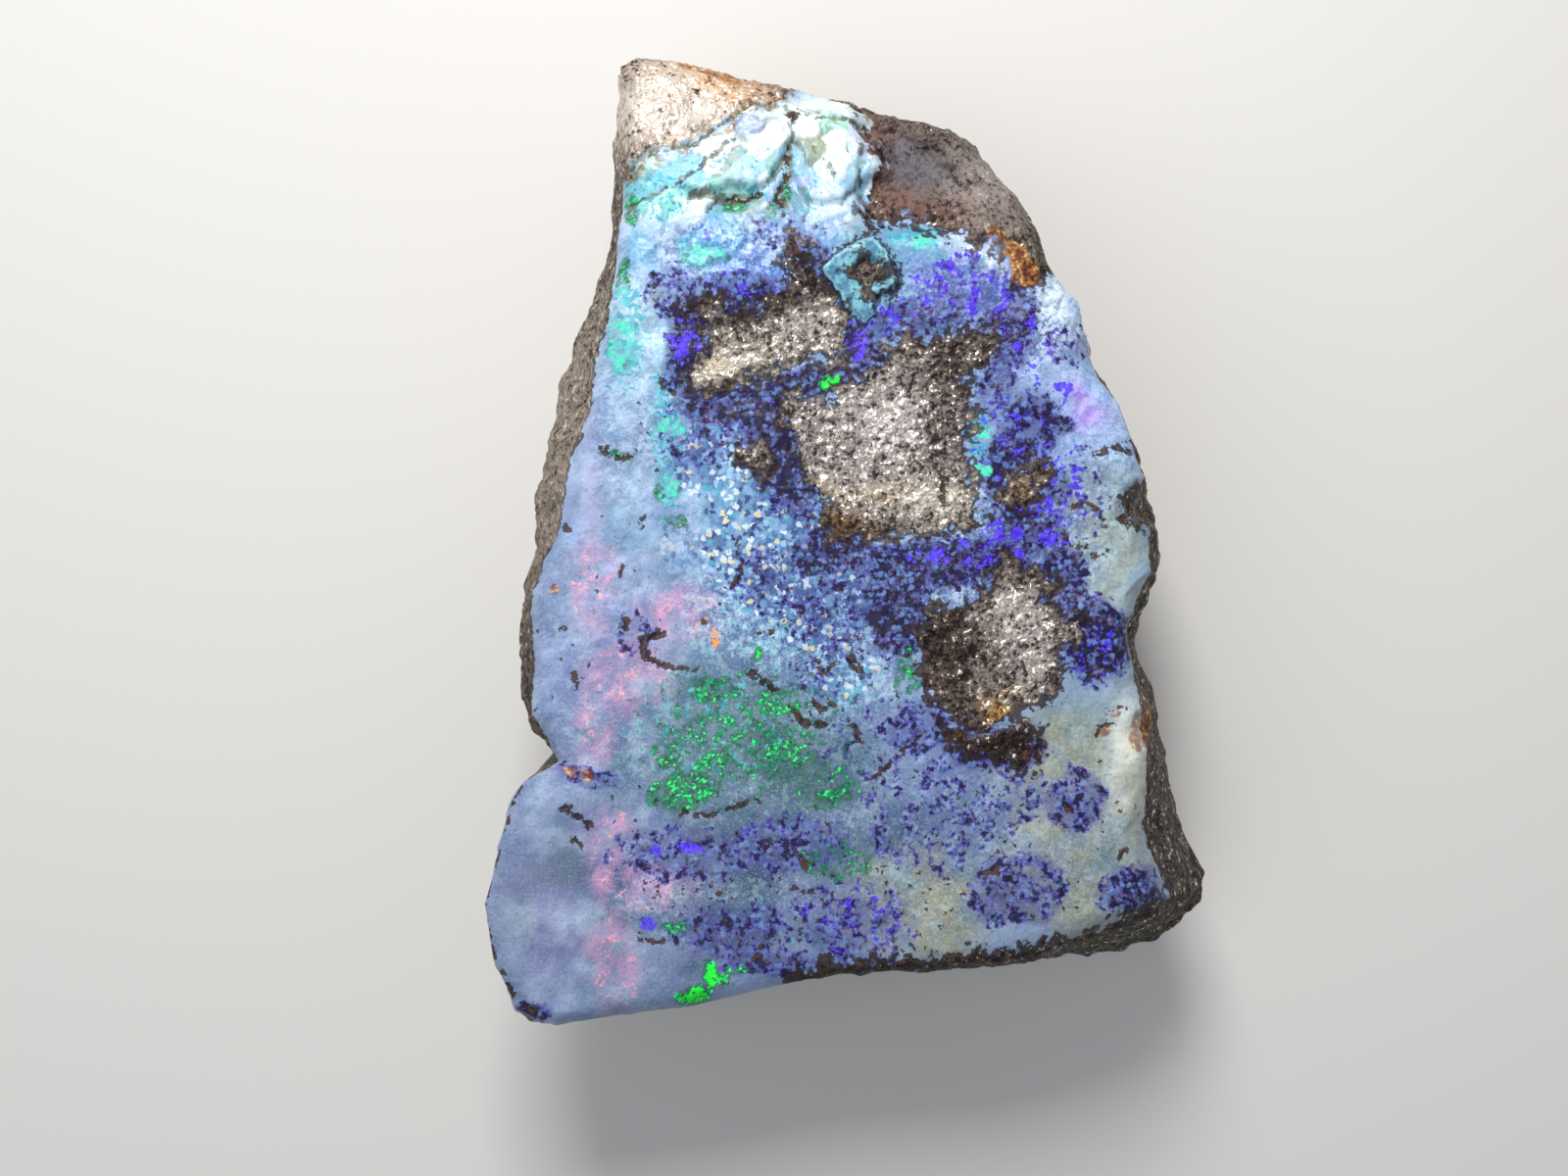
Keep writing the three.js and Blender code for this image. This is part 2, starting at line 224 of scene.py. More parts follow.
# Random unevenness, in layers of a height and a size in millimetres. The heights of the first
# three are pixels, because they move edges in the photograph's view.
SPOT_WANDER = ((11, 3.0), (6, 1.1))
LEDGE_WANDER = ((6, 1.6), (3, 0.6))
EDGE_WANDER = ((4, 0.55),)
CHIP_WANDER = ((0.5, 1.5), (0.2, 0.5))
SEAM_WANDER = ((0.7, 4.0), (0.4, 1.2))
GRAIN = ((0.10, 0.45), (0.07, 0.24))
RIPPLE = ((0.05, 1.4), (0.025, 0.5))
ROUGH_TIP = ((0.16, 1.0), (0.07, 0.5))
# How much of the unevenness the spots and the strokes follow
SPOT_FOLLOW = 0.6
STROKE_FOLLOW = 0.8

# Depth and height of the fine relief
COARSE_GRAIN = 0.11
TIP_GRAIN = 0.14
PIT_DEPTH = 0.10
MARK_DEPTH = 0.08
CRACK_DEPTH = 0.16
SIDE_SWELL = 0.12
# The sides swell above this height only, so that the flat underside stays flat
SWELL_START = 0.4
STEADY_BELOW = 0.5

# Lists of spots give the strength, x, y, half width and half height of each, and the degrees
# of turn where it is turned. A spot reaches a little beyond its edge and fades over a share
# of its size.
SPOT_REACH = 1.3
SPOT_FADE = 0.75

# Where the face is broken into small chips at odd tilts
CHIPPED = [
    (1, 700, 180, 90, 56, -15), (1, 790, 160, 110, 60), (1, 850, 170, 50, 70), (0.6, 715, 246, 90, 36),
    (0.5, 650, 300, 30, 100), (0.6, 1075, 300, 34, 70, -15), (0.2, 1120, 410, 44, 60, -15),
    (0.25, 1140, 540, 40, 80), (0.5, 985, 262, 50, 26, 30),
]
CHIP_COUNT = 620
CHIP_AREA = ((-16, -6), (20, 31))  # millimetres
CHIP_TILT = 0.2
CHIP_STEP = 0.1
CHIP_SEAM = 0.14
CHIP_SEAM_WIDTH = 0.3
CHIP_SHARE = 0.6
CHIP_COVER = 0.8
SEAM_COLOUR = (104, 112, 104)
CHIP_COLOURS = [
    (242, 252, 250), (238, 250, 248), (222, 240, 246), (196, 222, 244), (140, 196, 232), (110, 190, 204),
    (116, 204, 186), (178, 190, 240), (214, 226, 198), (112, 122, 114),
]

# Broad washes of colour over the opal, each a colour before what a spot has
WASH_GAIN = 1.25
WASH_FALL = 1.1
GROUND_COLOUR = (128, 152, 192)
WASHES = [
    ((104, 118, 142), 0.95, 560, 920, 90, 130), ((62, 78, 100), 0.95, 660, 930, 70, 110),
    ((146, 164, 207), 0.85, 600, 650, 90, 110), ((170, 208, 238), 0.9, 630, 480, 55, 120, 8),
    ((182, 224, 246), 0.9, 650, 340, 50, 110, 4), ((98, 140, 216), 0.95, 715, 250, 90, 36),
    ((160, 208, 220), 0.9, 680, 200, 50, 26, -30), ((226, 244, 242), 1, 745, 165, 66, 30, -25),
    ((140, 206, 220), 0.7, 715, 170, 18, 12, -20), ((190, 200, 240), 0.7, 775, 148, 18, 10, -30),
    ((224, 236, 204), 1, 845, 150, 40, 44), ((120, 192, 206), 0.8, 665, 178, 22, 14, -30),
    ((220, 242, 240), 1, 845, 116, 70, 18, 5), ((150, 186, 216), 0.9, 835, 222, 50, 20),
    # (84, 92, 84), under the white shell, is painted shadow that the shell casts
    ((96, 148, 196), 0.9, 766, 226, 60, 20), ((84, 92, 84), 0.8, 750, 206, 26, 9),
    ((104, 146, 224), 0.8, 760, 260, 80, 26), ((84, 144, 164), 1, 880, 285, 44, 46),
    ((60, 150, 165), 0.8, 945, 250, 34, 18), ((118, 130, 204), 0.8, 990, 290, 70, 46, 20),
    ((196, 214, 240), 1, 1072, 320, 30, 62, -12), ((160, 184, 236), 0.95, 1120, 420, 44, 56, -20),
    ((148, 176, 184), 0.95, 1135, 540, 42, 66), ((156, 182, 192), 0.9, 1140, 610, 30, 34),
    ((144, 190, 226), 0.9, 770, 540, 90, 90), ((122, 170, 200), 0.8, 800, 640, 80, 50),
    ((138, 174, 216), 0.8, 850, 700, 70, 50), ((36, 80, 68), 1, 742, 748, 104, 62),
    ((54, 96, 80), 0.9, 820, 790, 66, 50), ((50, 72, 88), 0.95, 740, 880, 120, 54),
    ((80, 102, 118), 0.85, 900, 860, 90, 66), ((104, 124, 152), 0.8, 1000, 810, 60, 50),
    ((124, 146, 150), 0.9, 1110, 760, 56, 70), ((112, 128, 130), 0.95, 1115, 870, 56, 90, 10),
    ((142, 158, 160), 0.85, 1045, 835, 20, 66, -20), ((240, 242, 228), 1.1, 1153, 776, 22, 64),
    ((106, 112, 168), 1, 1097, 818, 34, 30), ((92, 98, 144), 1, 1035, 912, 42, 34),
    ((100, 114, 110), 0.85, 960, 930, 60, 50), ((150, 158, 142), 0.6, 1070, 765, 40, 32),
    ((40, 66, 88), 0.9, 760, 960, 110, 34), ((168, 136, 250), 0.9, 1108, 392, 13, 12),
    ((168, 140, 250), 0.9, 1114, 424, 20, 16), ((150, 104, 250), 1, 872, 352, 12, 14),
    ((206, 218, 244), 1.2, 998, 256, 34, 7, 46), ((206, 218, 244), 1.2, 1059, 256, 12, 8, 80),
]

# The seam of opal ends about a millimetre below the rim, and the colours in it before that
SEAM_DEPTH = 1.1
FADE_BELOW_RIM = 1.0
SEAM_SHARPNESS = 2.5
# What stands for a place on the back, and for one well outside every outline
FAR_BELOW_RIM = 20.0
FAR_OUTSIDE = -200.0

# Where the opal is milky, and where it has warmer clouds
MILKY = [(1, 610, 720, 130, 420), (0.45, 800, 760, 260, 300)]
WARM = [
    (0.8, 1100, 860, 80, 120, 10), (1, 940, 925, 80, 60), (0.8, 1080, 765, 60, 44),
    (0.6, 1120, 560, 50, 80),
]
# Soft clouds in the opal: colour, size in millimetres, strength, seed, and where they are
SOFT_CLOUDS = [
    ((152, 144, 202), 2.8, 0.45, 31, MILKY), ((106, 146, 172), 2.2, 0.45, 32, MILKY),
    ((178, 196, 220), 1.5, 0.55, 33, MILKY), ((84, 98, 144), 1.1, 0.48, 34, MILKY),
    ((146, 148, 122), 1.8, 0.6, 37, WARM), ((92, 114, 126), 1.3, 0.55, 38, WARM),
    ((160, 176, 180), 1.0, 0.35, 39, WARM), ((160, 152, 102), 0.9, 0.55, 40, WARM),
]
PINK_HAZE = (208, 150, 192)
HAZE_SHARE = 0.75
MOSS = (42, 84, 68)
MOSS_SHARE = 0.8
GREEN_CALM = 0.8  # how much less mottled the green places are

# Broad washes of colour over the ironstone, in the same order: partly the stone's own tone, partly
# painted sheen and shade. The palest washes on the bare patches are painted sheen, lighter where the
# stone faces the light, and the darkest ones along the upper patch's upper edges are painted shade.
# Toward the tip it is lighter and rougher.
TIP_LIGHT_END = 235
TIP_LIGHT_WIDTH = 60
STONE_COLOUR = (92, 80, 70)
STONE_TONE_SHEEN_AND_SHADE = [
    ((214, 198, 184), 1, 690, 110, 90, 60), ((206, 160, 120), 0.9, 740, 85, 50, 14, 12),
    ((142, 130, 118), 0.95, 580, 450, 70, 200, 15), ((140, 129, 124), 1, 1010, 190, 60, 60),
    ((112, 90, 82), 0.9, 900, 155, 40, 50), ((96, 94, 102), 1, 938, 172, 34, 30),
    ((112, 84, 76), 1, 922, 214, 56, 24, 12), ((140, 132, 124), 1, 780, 345, 100, 60),
    # Both washes here are painted sheen on the upper patch, the first where its lower edge faces the
    # light
    ((196, 184, 162), 0.9, 735, 370, 46, 16, -12), ((168, 160, 152), 0.8, 820, 330, 36, 30),
    # Both washes here are painted shade along the upper patch's upper edges
    ((84, 76, 78), 1, 810, 272, 12, 40, -25), ((60, 48, 44), 1, 760, 305, 50, 18),
    ((146, 139, 136), 1, 900, 450, 130, 110), ((180, 174, 172), 0.9, 905, 425, 50, 30, 10),
    ((180, 172, 160), 0.9, 960, 505, 40, 26), ((178, 164, 140), 0.7, 880, 495, 70, 10, 12),
    ((92, 80, 76), 0.9, 975, 375, 40, 26, -20), ((104, 96, 92), 0.8, 960, 430, 26, 50),
    ((104, 78, 52), 1, 858, 535, 34, 20), ((124, 114, 110), 1, 1020, 660, 90, 90),
    ((172, 165, 160), 0.9, 1045, 625, 40, 26, 20), ((160, 154, 150), 0.8, 1060, 670, 26, 44),
    ((72, 58, 52), 0.9, 962, 660, 30, 60), ((170, 128, 66), 0.9, 1020, 718, 20, 14),
    ((52, 38, 38), 1, 1012, 756, 66, 24), ((88, 78, 72), 0.9, 1180, 880, 70, 120),
    ((80, 76, 60), 0.9, 1120, 950, 80, 24), ((140, 118, 94), 0.9, 1045, 500, 30, 20),
    ((58, 46, 44), 0.9, 900, 1000, 200, 22),
]

# Spots of colour, from dark indigo ones to fine specks and rusty stains
INDIGO = [
    (1, 702, 350, 26, 56), (0.6, 757, 290, 56, 14), (0.95, 762, 310, 30, 16),
    (0.9, 828, 272, 20, 46, -28), (0.85, 750, 412, 66, 28, 6), (0.8, 826, 388, 60, 14, -4),
    (0.85, 800, 470, 36, 66, -25), (0.8, 850, 562, 48, 30), (0.5, 1022, 395, 24, 36),
    (0.7, 1052, 430, 34, 34), (0.9, 1030, 480, 30, 44), (0.85, 1050, 535, 44, 28),
    (0.8, 1084, 432, 16, 12), (0.6, 1078, 495, 26, 24), (0.7, 1030, 335, 34, 46),
    (0.65, 935, 322, 76, 24, -12), (0.7, 880, 350, 26, 30), (0.9, 965, 574, 110, 30),
    (0.85, 914, 622, 34, 50), (0.95, 1120, 656, 38, 42), (0.8, 1086, 590, 30, 44),
    (0.8, 1012, 760, 64, 28), (0.55, 1097, 818, 28, 26), (0.52, 1033, 913, 34, 26),
    (0.5, 872, 945, 48, 30), (0.5, 750, 950, 70, 34), (0.45, 700, 872, 90, 30), (0.5, 810, 862, 70, 36),
    (0.7, 1156, 905, 40, 22, -20), (0.6, 598, 792, 36, 12, 8), (0.9, 545, 1034, 24, 14),
    (0.42, 860, 620, 60, 60), (0.36, 800, 590, 60, 50), (0.4, 715, 455, 40, 40), (0.55, 940, 745, 40, 30),
    (0.45, 1000, 300, 60, 40, 20), (0.26, 880, 770, 70, 60), (0.28, 960, 830, 70, 60),
    (0.3, 1110, 500, 30, 50), (0.5, 690, 300, 30, 30), (0.3, 830, 690, 40, 30), (0.45, 1090, 350, 30, 24),
    (0.6, 790, 985, 60, 12), (0.3, 650, 650, 30, 26), (0.3, 800, 235, 50, 20),
]
VIOLET = [
    (0.9, 700, 345, 24, 28), (1.5, 871, 352, 12, 18), (0.7, 992, 566, 90, 20), (0.6, 1115, 665, 30, 30),
    (0.66, 1076, 500, 40, 70), (0.62, 985, 290, 70, 40, 10), (1.6, 673, 872, 8, 7),
    (1.4, 706, 866, 13, 7), (1.6, 667, 942, 12, 9), (0.66, 715, 240, 24, 16), (0.5, 760, 285, 70, 22),
    (0.6, 900, 325, 60, 24, -16), (0.46, 880, 940, 60, 34), (0.5, 1030, 450, 40, 60),
    (0.7, 1085, 530, 22, 22), (0.35, 800, 840, 70, 16), (0.5, 1050, 350, 40, 50),
    (0.8, 1088, 395, 14, 16), (0.85, 1020, 545, 30, 12), (0.8, 950, 560, 24, 12),
]
GREEN = [
    (0.14, 760, 750, 150, 96), (0.34, 752, 756, 92, 50), (0.85, 700, 806, 38, 20, -10),
    (0.6, 730, 706, 34, 12), (0.7, 798, 720, 28, 16), (0.8, 728, 776, 18, 12), (0.9, 680, 774, 10, 9),
    (0.75, 796, 770, 26, 9), (0.7, 852, 812, 20, 8), (0.45, 742, 750, 26, 24), (0.26, 846, 800, 40, 30),
    (0.36, 800, 770, 44, 26), (1, 1006, 437, 9, 7), (1, 1003, 478, 8, 7), (1.5, 845, 390, 13, 8, -30),
    (1.5, 722, 994, 9, 16, 10), (1.5, 706, 1012, 16, 9), (1.2, 692, 1014, 8, 8), (1.2, 735, 1000, 9, 7),
    (0.5, 634, 350, 14, 30), (0.55, 690, 433, 20, 9), (0.62, 683, 500, 16, 12), (0.7, 693, 532, 12, 6),
    (0.6, 644, 216, 8, 16), (0.9, 752, 210, 12, 7), (0.7, 692, 943, 14, 6), (0.8, 753, 990, 14, 7),
    (1.4, 774, 668, 6, 6), (0.46, 925, 690, 12, 30), (0.34, 860, 880, 40, 28), (0.5, 640, 290, 8, 24),
    (0.5, 795, 200, 8, 26, 20), (0.66, 630, 464, 22, 6, 20), (0.44, 715, 262, 30, 12),
    (0.7, 935, 250, 12, 8),
]
TEAL = [
    (0.75, 715, 255, 36, 24), (0.8, 638, 340, 26, 60), (0.9, 930, 245, 34, 16), (0.5, 800, 200, 40, 40),
    (0.42, 820, 600, 70, 60), (0.9, 1005, 450, 20, 50), (0.45, 900, 610, 40, 40),
    (0.45, 760, 640, 70, 34), (0.8, 685, 440, 22, 110), (0.42, 760, 180, 90, 40),
    (0.45, 820, 700, 70, 60), (0.6, 670, 200, 40, 34), (0.45, 770, 425, 80, 30),
    (0.42, 940, 320, 70, 30, -12), (0.5, 735, 745, 110, 66), (0.4, 760, 950, 100, 40),
]
PINK = [
    (0.7, 604, 590, 26, 56), (0.9, 690, 628, 46, 26), (0.66, 640, 690, 54, 40), (0.62, 606, 740, 26, 46),
    (0.9, 625, 880, 28, 60), (0.66, 668, 905, 42, 26), (0.72, 625, 985, 30, 56), (0.3, 606, 480, 14, 60),
    (0.3, 590, 800, 20, 30), (0.3, 1112, 420, 20, 30),
]
ORANGE = [(1.3, 731, 652, 4, 13, -12), (0.9, 718, 640, 3, 11, 30), (0.4, 705, 650, 30, 12)]
SPECKS = [
    (0.6, 980, 860, 120, 100), (0.7, 760, 900, 120, 60), (0.55, 860, 700, 70, 60),
    (0.6, 820, 600, 80, 60), (0.5, 1095, 820, 60, 50), (0.3, 1120, 560, 40, 60), (0.8, 850, 960, 120, 30),
    (0.4, 700, 450, 60, 60), (0.35, 650, 820, 70, 30), (0.12, 600, 650, 80, 130),
]
STAINS = [
    (0.8, 1128, 741, 10, 7, -20), (1, 1040, 272, 16, 26, -30), (0.7, 590, 789, 18, 9),
    (0.9, 565, 602, 5, 8), (0.9, 725, 74, 40, 10, 12), (0.9, 1018, 246, 12, 10), (1, 1164, 742, 9, 24),
    (0.6, 1140, 724, 12, 5, -20), (0.7, 745, 75, 30, 10, 12),
]
# Rings of dark spots. They reach so far from a spot's edge, in and out, as a share of its size.
RINGS = [
    (0.5, 1097, 816, 32, 26, -20), (0.48, 1033, 911, 38, 30, 10), (0.4, 995, 806, 50, 38),
    (0.36, 872, 945, 46, 30), (0.36, 940, 850, 40, 30),
]
RING_REACH = 0.6
RING_FADE = 0.5
# How mottled the opal is
MOTTLED = [
    (1, 820, 600, 130, 110), (0.9, 760, 440, 120, 80), (0.9, 1000, 330, 110, 70),
    (0.9, 1000, 560, 140, 80), (0.3, 900, 860, 190, 110), (0.35, 740, 900, 130, 70),
    (0.85, 740, 256, 90, 32), (0.4, 740, 760, 130, 80), (0.25, 1100, 840, 60, 120),
    (0.35, 1120, 460, 50, 120), (0.35, 640, 380, 50, 160), (0.2, 600, 680, 90, 150),
    (0.6, 1060, 320, 40, 70), (0.6, 860, 700, 90, 60),
]
# Opal made of small round dots
DOTTED = [
    (1, 790, 560, 76, 80, -20), (0.9, 845, 625, 56, 46), (0.7, 730, 470, 44, 50), (0.8, 800, 500, 50, 40),
    (0.5, 860, 690, 50, 40), (0.5, 930, 640, 30, 40), (0.4, 930, 330, 60, 20, -12),
    (0.35, 700, 560, 40, 50), (0.25, 960, 840, 70, 50),
]
# Ironstone with fewer painted glints, fewer of the darkest grains and less metal than the rest
DULL = [
    (1, 930, 175, 54, 50), (0.8, 900, 150, 30, 50), (0.7, 900, 1000, 200, 20), (0.7, 1010, 190, 56, 70),
    (0.5, 560, 500, 60, 240),
]
SPOTS = {
    "indigo": INDIGO, "violet": VIOLET, "green": GREEN, "teal": TEAL, "pink": PINK,
    "orange": ORANGE, "specks": SPECKS, "stains": STAINS, "mottled": MOTTLED,
    "dotted": DOTTED, "dull": DULL,
}

# Dark marks and olive cracks: the points of each stroke, by its width. The olive cracks run round the
# raised shells and are darkened with painted shade along the shells' edges; one mark and the widest
# crack, under the white shell, are painted shadow that the shell casts.
MARKS_AND_SHADOWS = {
    4: [
        [(722, 904), (734, 911), (748, 911)], [(750, 549), (754, 571)], [(757, 578), (748, 599)],
        [(850, 253), (866, 249), (879, 241), (900, 231), (919, 224)], [(571, 641), (577, 643)],
        [(1128, 728), (1140, 722), (1152, 724)],
    ],
    5: [
        [(652, 952), (664, 961), (677, 960)], [(806, 906), (820, 912), (832, 908)],
        [(830, 676), (840, 684), (850, 676)], [(894, 793), (910, 779)],
        [(1116, 464), (1132, 461), (1152, 460)], [(1128, 457), (1140, 457), (1153, 451)],
        [(1083, 545), (1096, 556), (1113, 564), (1128, 568)],
        [(1092, 517), (1106, 513), (1119, 520), (1127, 534)],
        # The second stroke here, under the white shell, is painted shadow that the shell casts
        [(803, 147), (805, 174), (791, 203), (801, 218)], [(741, 203), (760, 206), (776, 197)],
        [(968, 486), (960, 500), (962, 516)], [(657, 530), (656, 541)], [(634, 582), (635, 588)],
        [(718, 630), (719, 636)], [(584, 688), (590, 700)], [(812, 870), (822, 884)],
        [(1117, 748), (1128, 738), (1138, 738)], [(768, 982), (776, 966), (788, 960)],
        [(880, 130), (902, 163), (894, 184), (884, 206)],
    ],
    6: [
        [(668, 675), (682, 680), (697, 683), (711, 684)], [(693, 830), (728, 829), (773, 817)],
        [(585, 857), (594, 862)], [(921, 768), (938, 752)], [(803, 119), (811, 121)],
        [(675, 390), (688, 402)], [(615, 456), (632, 468), (645, 467)], [(637, 633), (638, 641)],
        [(1142, 878), (1148, 868)], [(536, 1022), (550, 1034)],
    ],
    7: [
        [(522, 1014), (502, 986), (491, 925), (505, 876), (519, 822), (530, 802)],
        [(829, 716), (838, 726), (846, 720)], [(872, 742), (877, 756)],
        [(808, 724), (822, 737), (840, 740)], [(1086, 820), (1096, 826)],
        [(976, 752), (1002, 764), (1030, 758)], [(1030, 758), (1046, 772), (1040, 784)],
        [(840, 300), (828, 284), (816, 262), (806, 244)],
    ],
    8: [
        [(675, 646), (656, 655), (659, 670), (668, 676)], [(774, 646), (788, 649)],
        [(868, 672), (874, 684), (883, 686)], [(573, 528), (578, 540)],
        [(1000, 892), (1016, 889), (1034, 896)],
    ],
    9: [
        [(767, 685), (776, 692), (788, 705)], [(535, 690), (548, 688)],
    ],
    10: [
        [(574, 826), (586, 829), (600, 842)],
    ],
}
CRACKS_AND_SHADOWS = {
    3: [
        [(830, 150), (846, 166), (850, 184)],
    ],
    4: [
        [(638, 192), (664, 157), (704, 148), (742, 123), (766, 107), (792, 108)],
        [(877, 146), (880, 168), (874, 190), (858, 209)],
        [(812, 112), (838, 120), (866, 124), (880, 134)],
    ],
    5: [
        [(640, 212), (672, 198), (690, 190), (716, 168), (746, 143)],
        [(800, 110), (809, 126), (807, 146), (797, 168), (783, 186)],
    ],
    7: [
        [(806, 150), (806, 174), (795, 198), (801, 216)],
    ],
    # Painted shadow under the white shell's lower edge, which the shell casts
    10: [
        [(704, 199), (724, 198), (746, 206), (768, 202)],
    ],
}


def rise(x, width):
    """A smooth step from 0 to 1 as x goes from 0 to width."""
    share = np.clip(x / width, 0, 1)
    return share * share * (3 - 2 * share)


def blend(start, end, share):
    return start + (end - start) * share


def along(run, shares):
    """The places at the given shares of the way along a run of points."""
    points = np.array(run, float)
    lengths = np.hypot(*np.diff(points, axis=0).T)
    reached = np.concatenate([[0], np.cumsum(lengths)]) / lengths.sum()
    return np.stack([np.interp(shares, reached, points[:, axis]) for axis in (0, 1)], axis=-1)


def ring_points(runs, u, v):
    """The points of a ring that belong to the border places (u, v) of a sheet."""
    places = along(runs["right"], v)
    for run, here, shares in (("left", u == 0, v), ("top", v == 1, u), ("bottom", v == 0, u)):
        places[here] = along(runs[run], shares[here])
    return places


def sheet_points(runs, u, v):
    """A sheet stretched over a ring, each point led by the four runs around it."""
    bottom, top, across, up = runs["bottom"], runs["top"], u[:, None], v[:, None]
    upright = blend(along(bottom, u), along(top, u), up)
    level = blend(along(runs["left"], v), along(runs["right"], v), across)
    low = blend(np.array(bottom[0]), np.array(bottom[-1]), across)
    high = blend(np.array(top[0]), np.array(top[-1]), across)
    return upright + level - blend(low, high, up)


def line_distance(points, x, y):
    """How far each place is from a line that runs through points."""
    nearest = np.full(x.shape, np.inf)
    for (ax, ay), (bx, by) in zip(points, points[1:]):
        right, up = bx - ax, by - ay
        share = np.clip(((x - ax) * right + (y - ay) * up) / (right**2 + up**2), 0, 1)
        nearest = np.minimum(nearest, np.hypot(ax + share * right - x, ay + share * up - y))
    return nearest


def depth_inside(outline, x, y):
    """How far each place lies inside a closed outline, below zero outside it."""
    closed = outline + outline[:1]
    inside = np.zeros(x.shape, bool)
    for (ax, ay), (bx, by) in zip(closed, closed[1:]):
        if ay != by:
            crosses = (ay > y) != (by > y)
            inside ^= crosses & (x < ax + (y - ay) * (bx - ax) / (by - ay))
    nearest = line_distance(closed, x, y)
    return np.where(inside, nearest, -nearest)


def speckle(points, size, seed):
    """Smooth random values from -1 to 1, in lumps about size across. The values at the corners
    of a lattice come from the mixed digits of their places."""
    cell = points / size
    low = np.floor(cell).astype(np.int64)
    part = cell - low
    part = part * part * (3 - 2 * part)
    total = np.zeros(len(points))
    for corner in itertools.product((0, 1), repeat=points.shape[1]):
        place = low + np.array(corner)
        mixed = np.full(len(points), seed * 7919 + 12345, np.int64)
        for axis in range(points.shape[1]):
            mixed = ((mixed ^ (place[:, axis] & 0xFFFFF)) * 1103515245 + 12345) & 0x7FFFFFFF
            mixed ^= mixed >> 15
        weight = np.prod(np.where(np.array(corner) == 1, part, 1 - part), axis=1)
        total += weight * ((mixed & 0xFFFF) / 32767.5 - 1)
    return total


def speckles(points, seeds, layers):
    """The sum of some layers of speckle, each with its height and size."""
    return sum(
        height * speckle(points, size, seed) for seed, (height, size) in zip(seeds, layers)
    )


def lumps(x, y, z):
    """The uneven lumps of the solid's sides and back, between about -1 and 1."""
    bent_x = x + 1.5 * np.sin(0.41 * y + 0.3 * z)
    bent_y = y + 1.5 * np.sin(0.37 * x - 0.5 * z + 1)
    broad = np.sin(0.55 * bent_x + 0.2 * z + 0.4) * np.sin(0.5 * bent_y - 0.45 * z + 1.9)
    middling = np.sin(1.15 * bent_y + 0.8 * z + 2.1) * np.sin(1.05 * bent_x - 0.9 * z + 0.3)
    small = np.sin(2.1 * bent_x + 1.3 * z) * np.sin(2.3 * bent_y - 1.2 * z + 4)
    return 0.6 * broad + 0.4 * middling + 0.25 * small


def photo_place(x, y, z):
    """Where the photograph's camera sees a point of the stone, in pixels."""
    scale = FOCAL_PIXELS / (CAMERA_HEIGHT - z)
    return PHOTO_WIDTH / 2 + scale * (x - CAMERA_X), PHOTO_HEIGHT / 2 - scale * (y - CAMERA_Y)


def face_height(x, y, from_rim):
    """Height of the face, without its ledges and patches."""
    toward_tip = np.maximum(0, y + TIP_LEAN * (x - TIP_X) - TIP_SLOPE_START)
    toward_tip = toward_tip**2 / (toward_tip + TIP_BEND)
    toward_shoulder = np.maximum(0, x - SHOULDER_START + SHOULDER_LEAN * (y - SHOULDER_FULL))
    shoulder = SHOULDER_SLOPE * toward_shoulder
    shoulder *= rise(y - SHOULDER_LOW, SHOULDER_FULL - SHOULDER_LOW)
    roll = EDGE_ROLL * np.maximum(0, 1 - from_rim / EDGE_WIDTH) ** 2
    height = THICKNESS - TIP_SLOPE * toward_tip - shoulder - roll
    return height + FACE_WAVE * lumps(WAVE_SCALE * x, WAVE_SCALE * y, 0 * x)


def ledges(x, y, height):
    """Height that the patches, shells and flakes add, in millimetres."""
    photo_x, photo_y = photo_place(x, y, height)
    flat = np.column_stack([x, y])
    right = speckles(flat, (51, 52), LEDGE_WANDER)
    down = speckles(flat, (53, 54), LEDGE_WANDER)
    added = np.zeros(x.shape)
    for outline, lift, width, ragged in STEPS:
        depth = depth_inside(outline, photo_x + ragged * right, photo_y + ragged * down)
        added += lift * rise(depth + width / 2, width)
    return added + chips_at(x, y)[0] * gather(CHIPPED, photo_x, photo_y)


def chips_at(x, y):
    """Small flat chips: their height at each place, which of the chip colours each has, and
    how close each place is to the seam between two chips."""
    random = np.random.default_rng(7)
    centres = random.uniform(*CHIP_AREA, (CHIP_COUNT, 2))
    tilts = random.uniform(-CHIP_TILT, CHIP_TILT, (CHIP_COUNT, 2))
    levels = random.uniform(-CHIP_STEP, CHIP_STEP, CHIP_COUNT)
    colours = random.integers(0, len(CHIP_COLOURS), CHIP_COUNT)
    flat = np.column_stack([x, y])
    right = x + speckles(flat, (55, 57), CHIP_WANDER)
    up = y + speckles(flat, (56, 58), CHIP_WANDER)
    nearest, second = np.full(x.shape, np.inf), np.full(x.shape, np.inf)
    chosen = np.zeros(x.shape, int)
    for chip, centre in enumerate(centres):
        distance = np.hypot(right - centre[0], up - centre[1])
        closer = distance < nearest
        second = np.where(closer, nearest, np.minimum(second, distance))
        nearest = np.where(closer, distance, nearest)
        chosen[closer] = chip
    offset = np.column_stack([right, up]) - centres[chosen]
    seam = rise(CHIP_SEAM_WIDTH - (second - nearest), CHIP_SEAM_WIDTH)
    seam *= rise(speckle(flat, 2.0, 59) + 0.2, 0.4)  # seams come and go
    lift = levels[chosen] + (tilts[chosen] * offset).sum(axis=1) - CHIP_SEAM * seam
    return lift, colours[chosen], seam


def cut_by_breaks(points):
    """Moves each point that lies beyond a broken face onto it."""
    middle = np.array([0, 0, THICKNESS / 2])
    for turn, above, distance in BREAKS:
        turn, above = math.radians(turn), math.radians(above)
        level = math.cos(above)
        facing = np.array([level * math.cos(turn), level * math.sin(turn), math.sin(above)])
        beyond = np.maximum(0, (points - middle) @ facing - distance)
        points = points - beyond[:, None] * facing
    return points


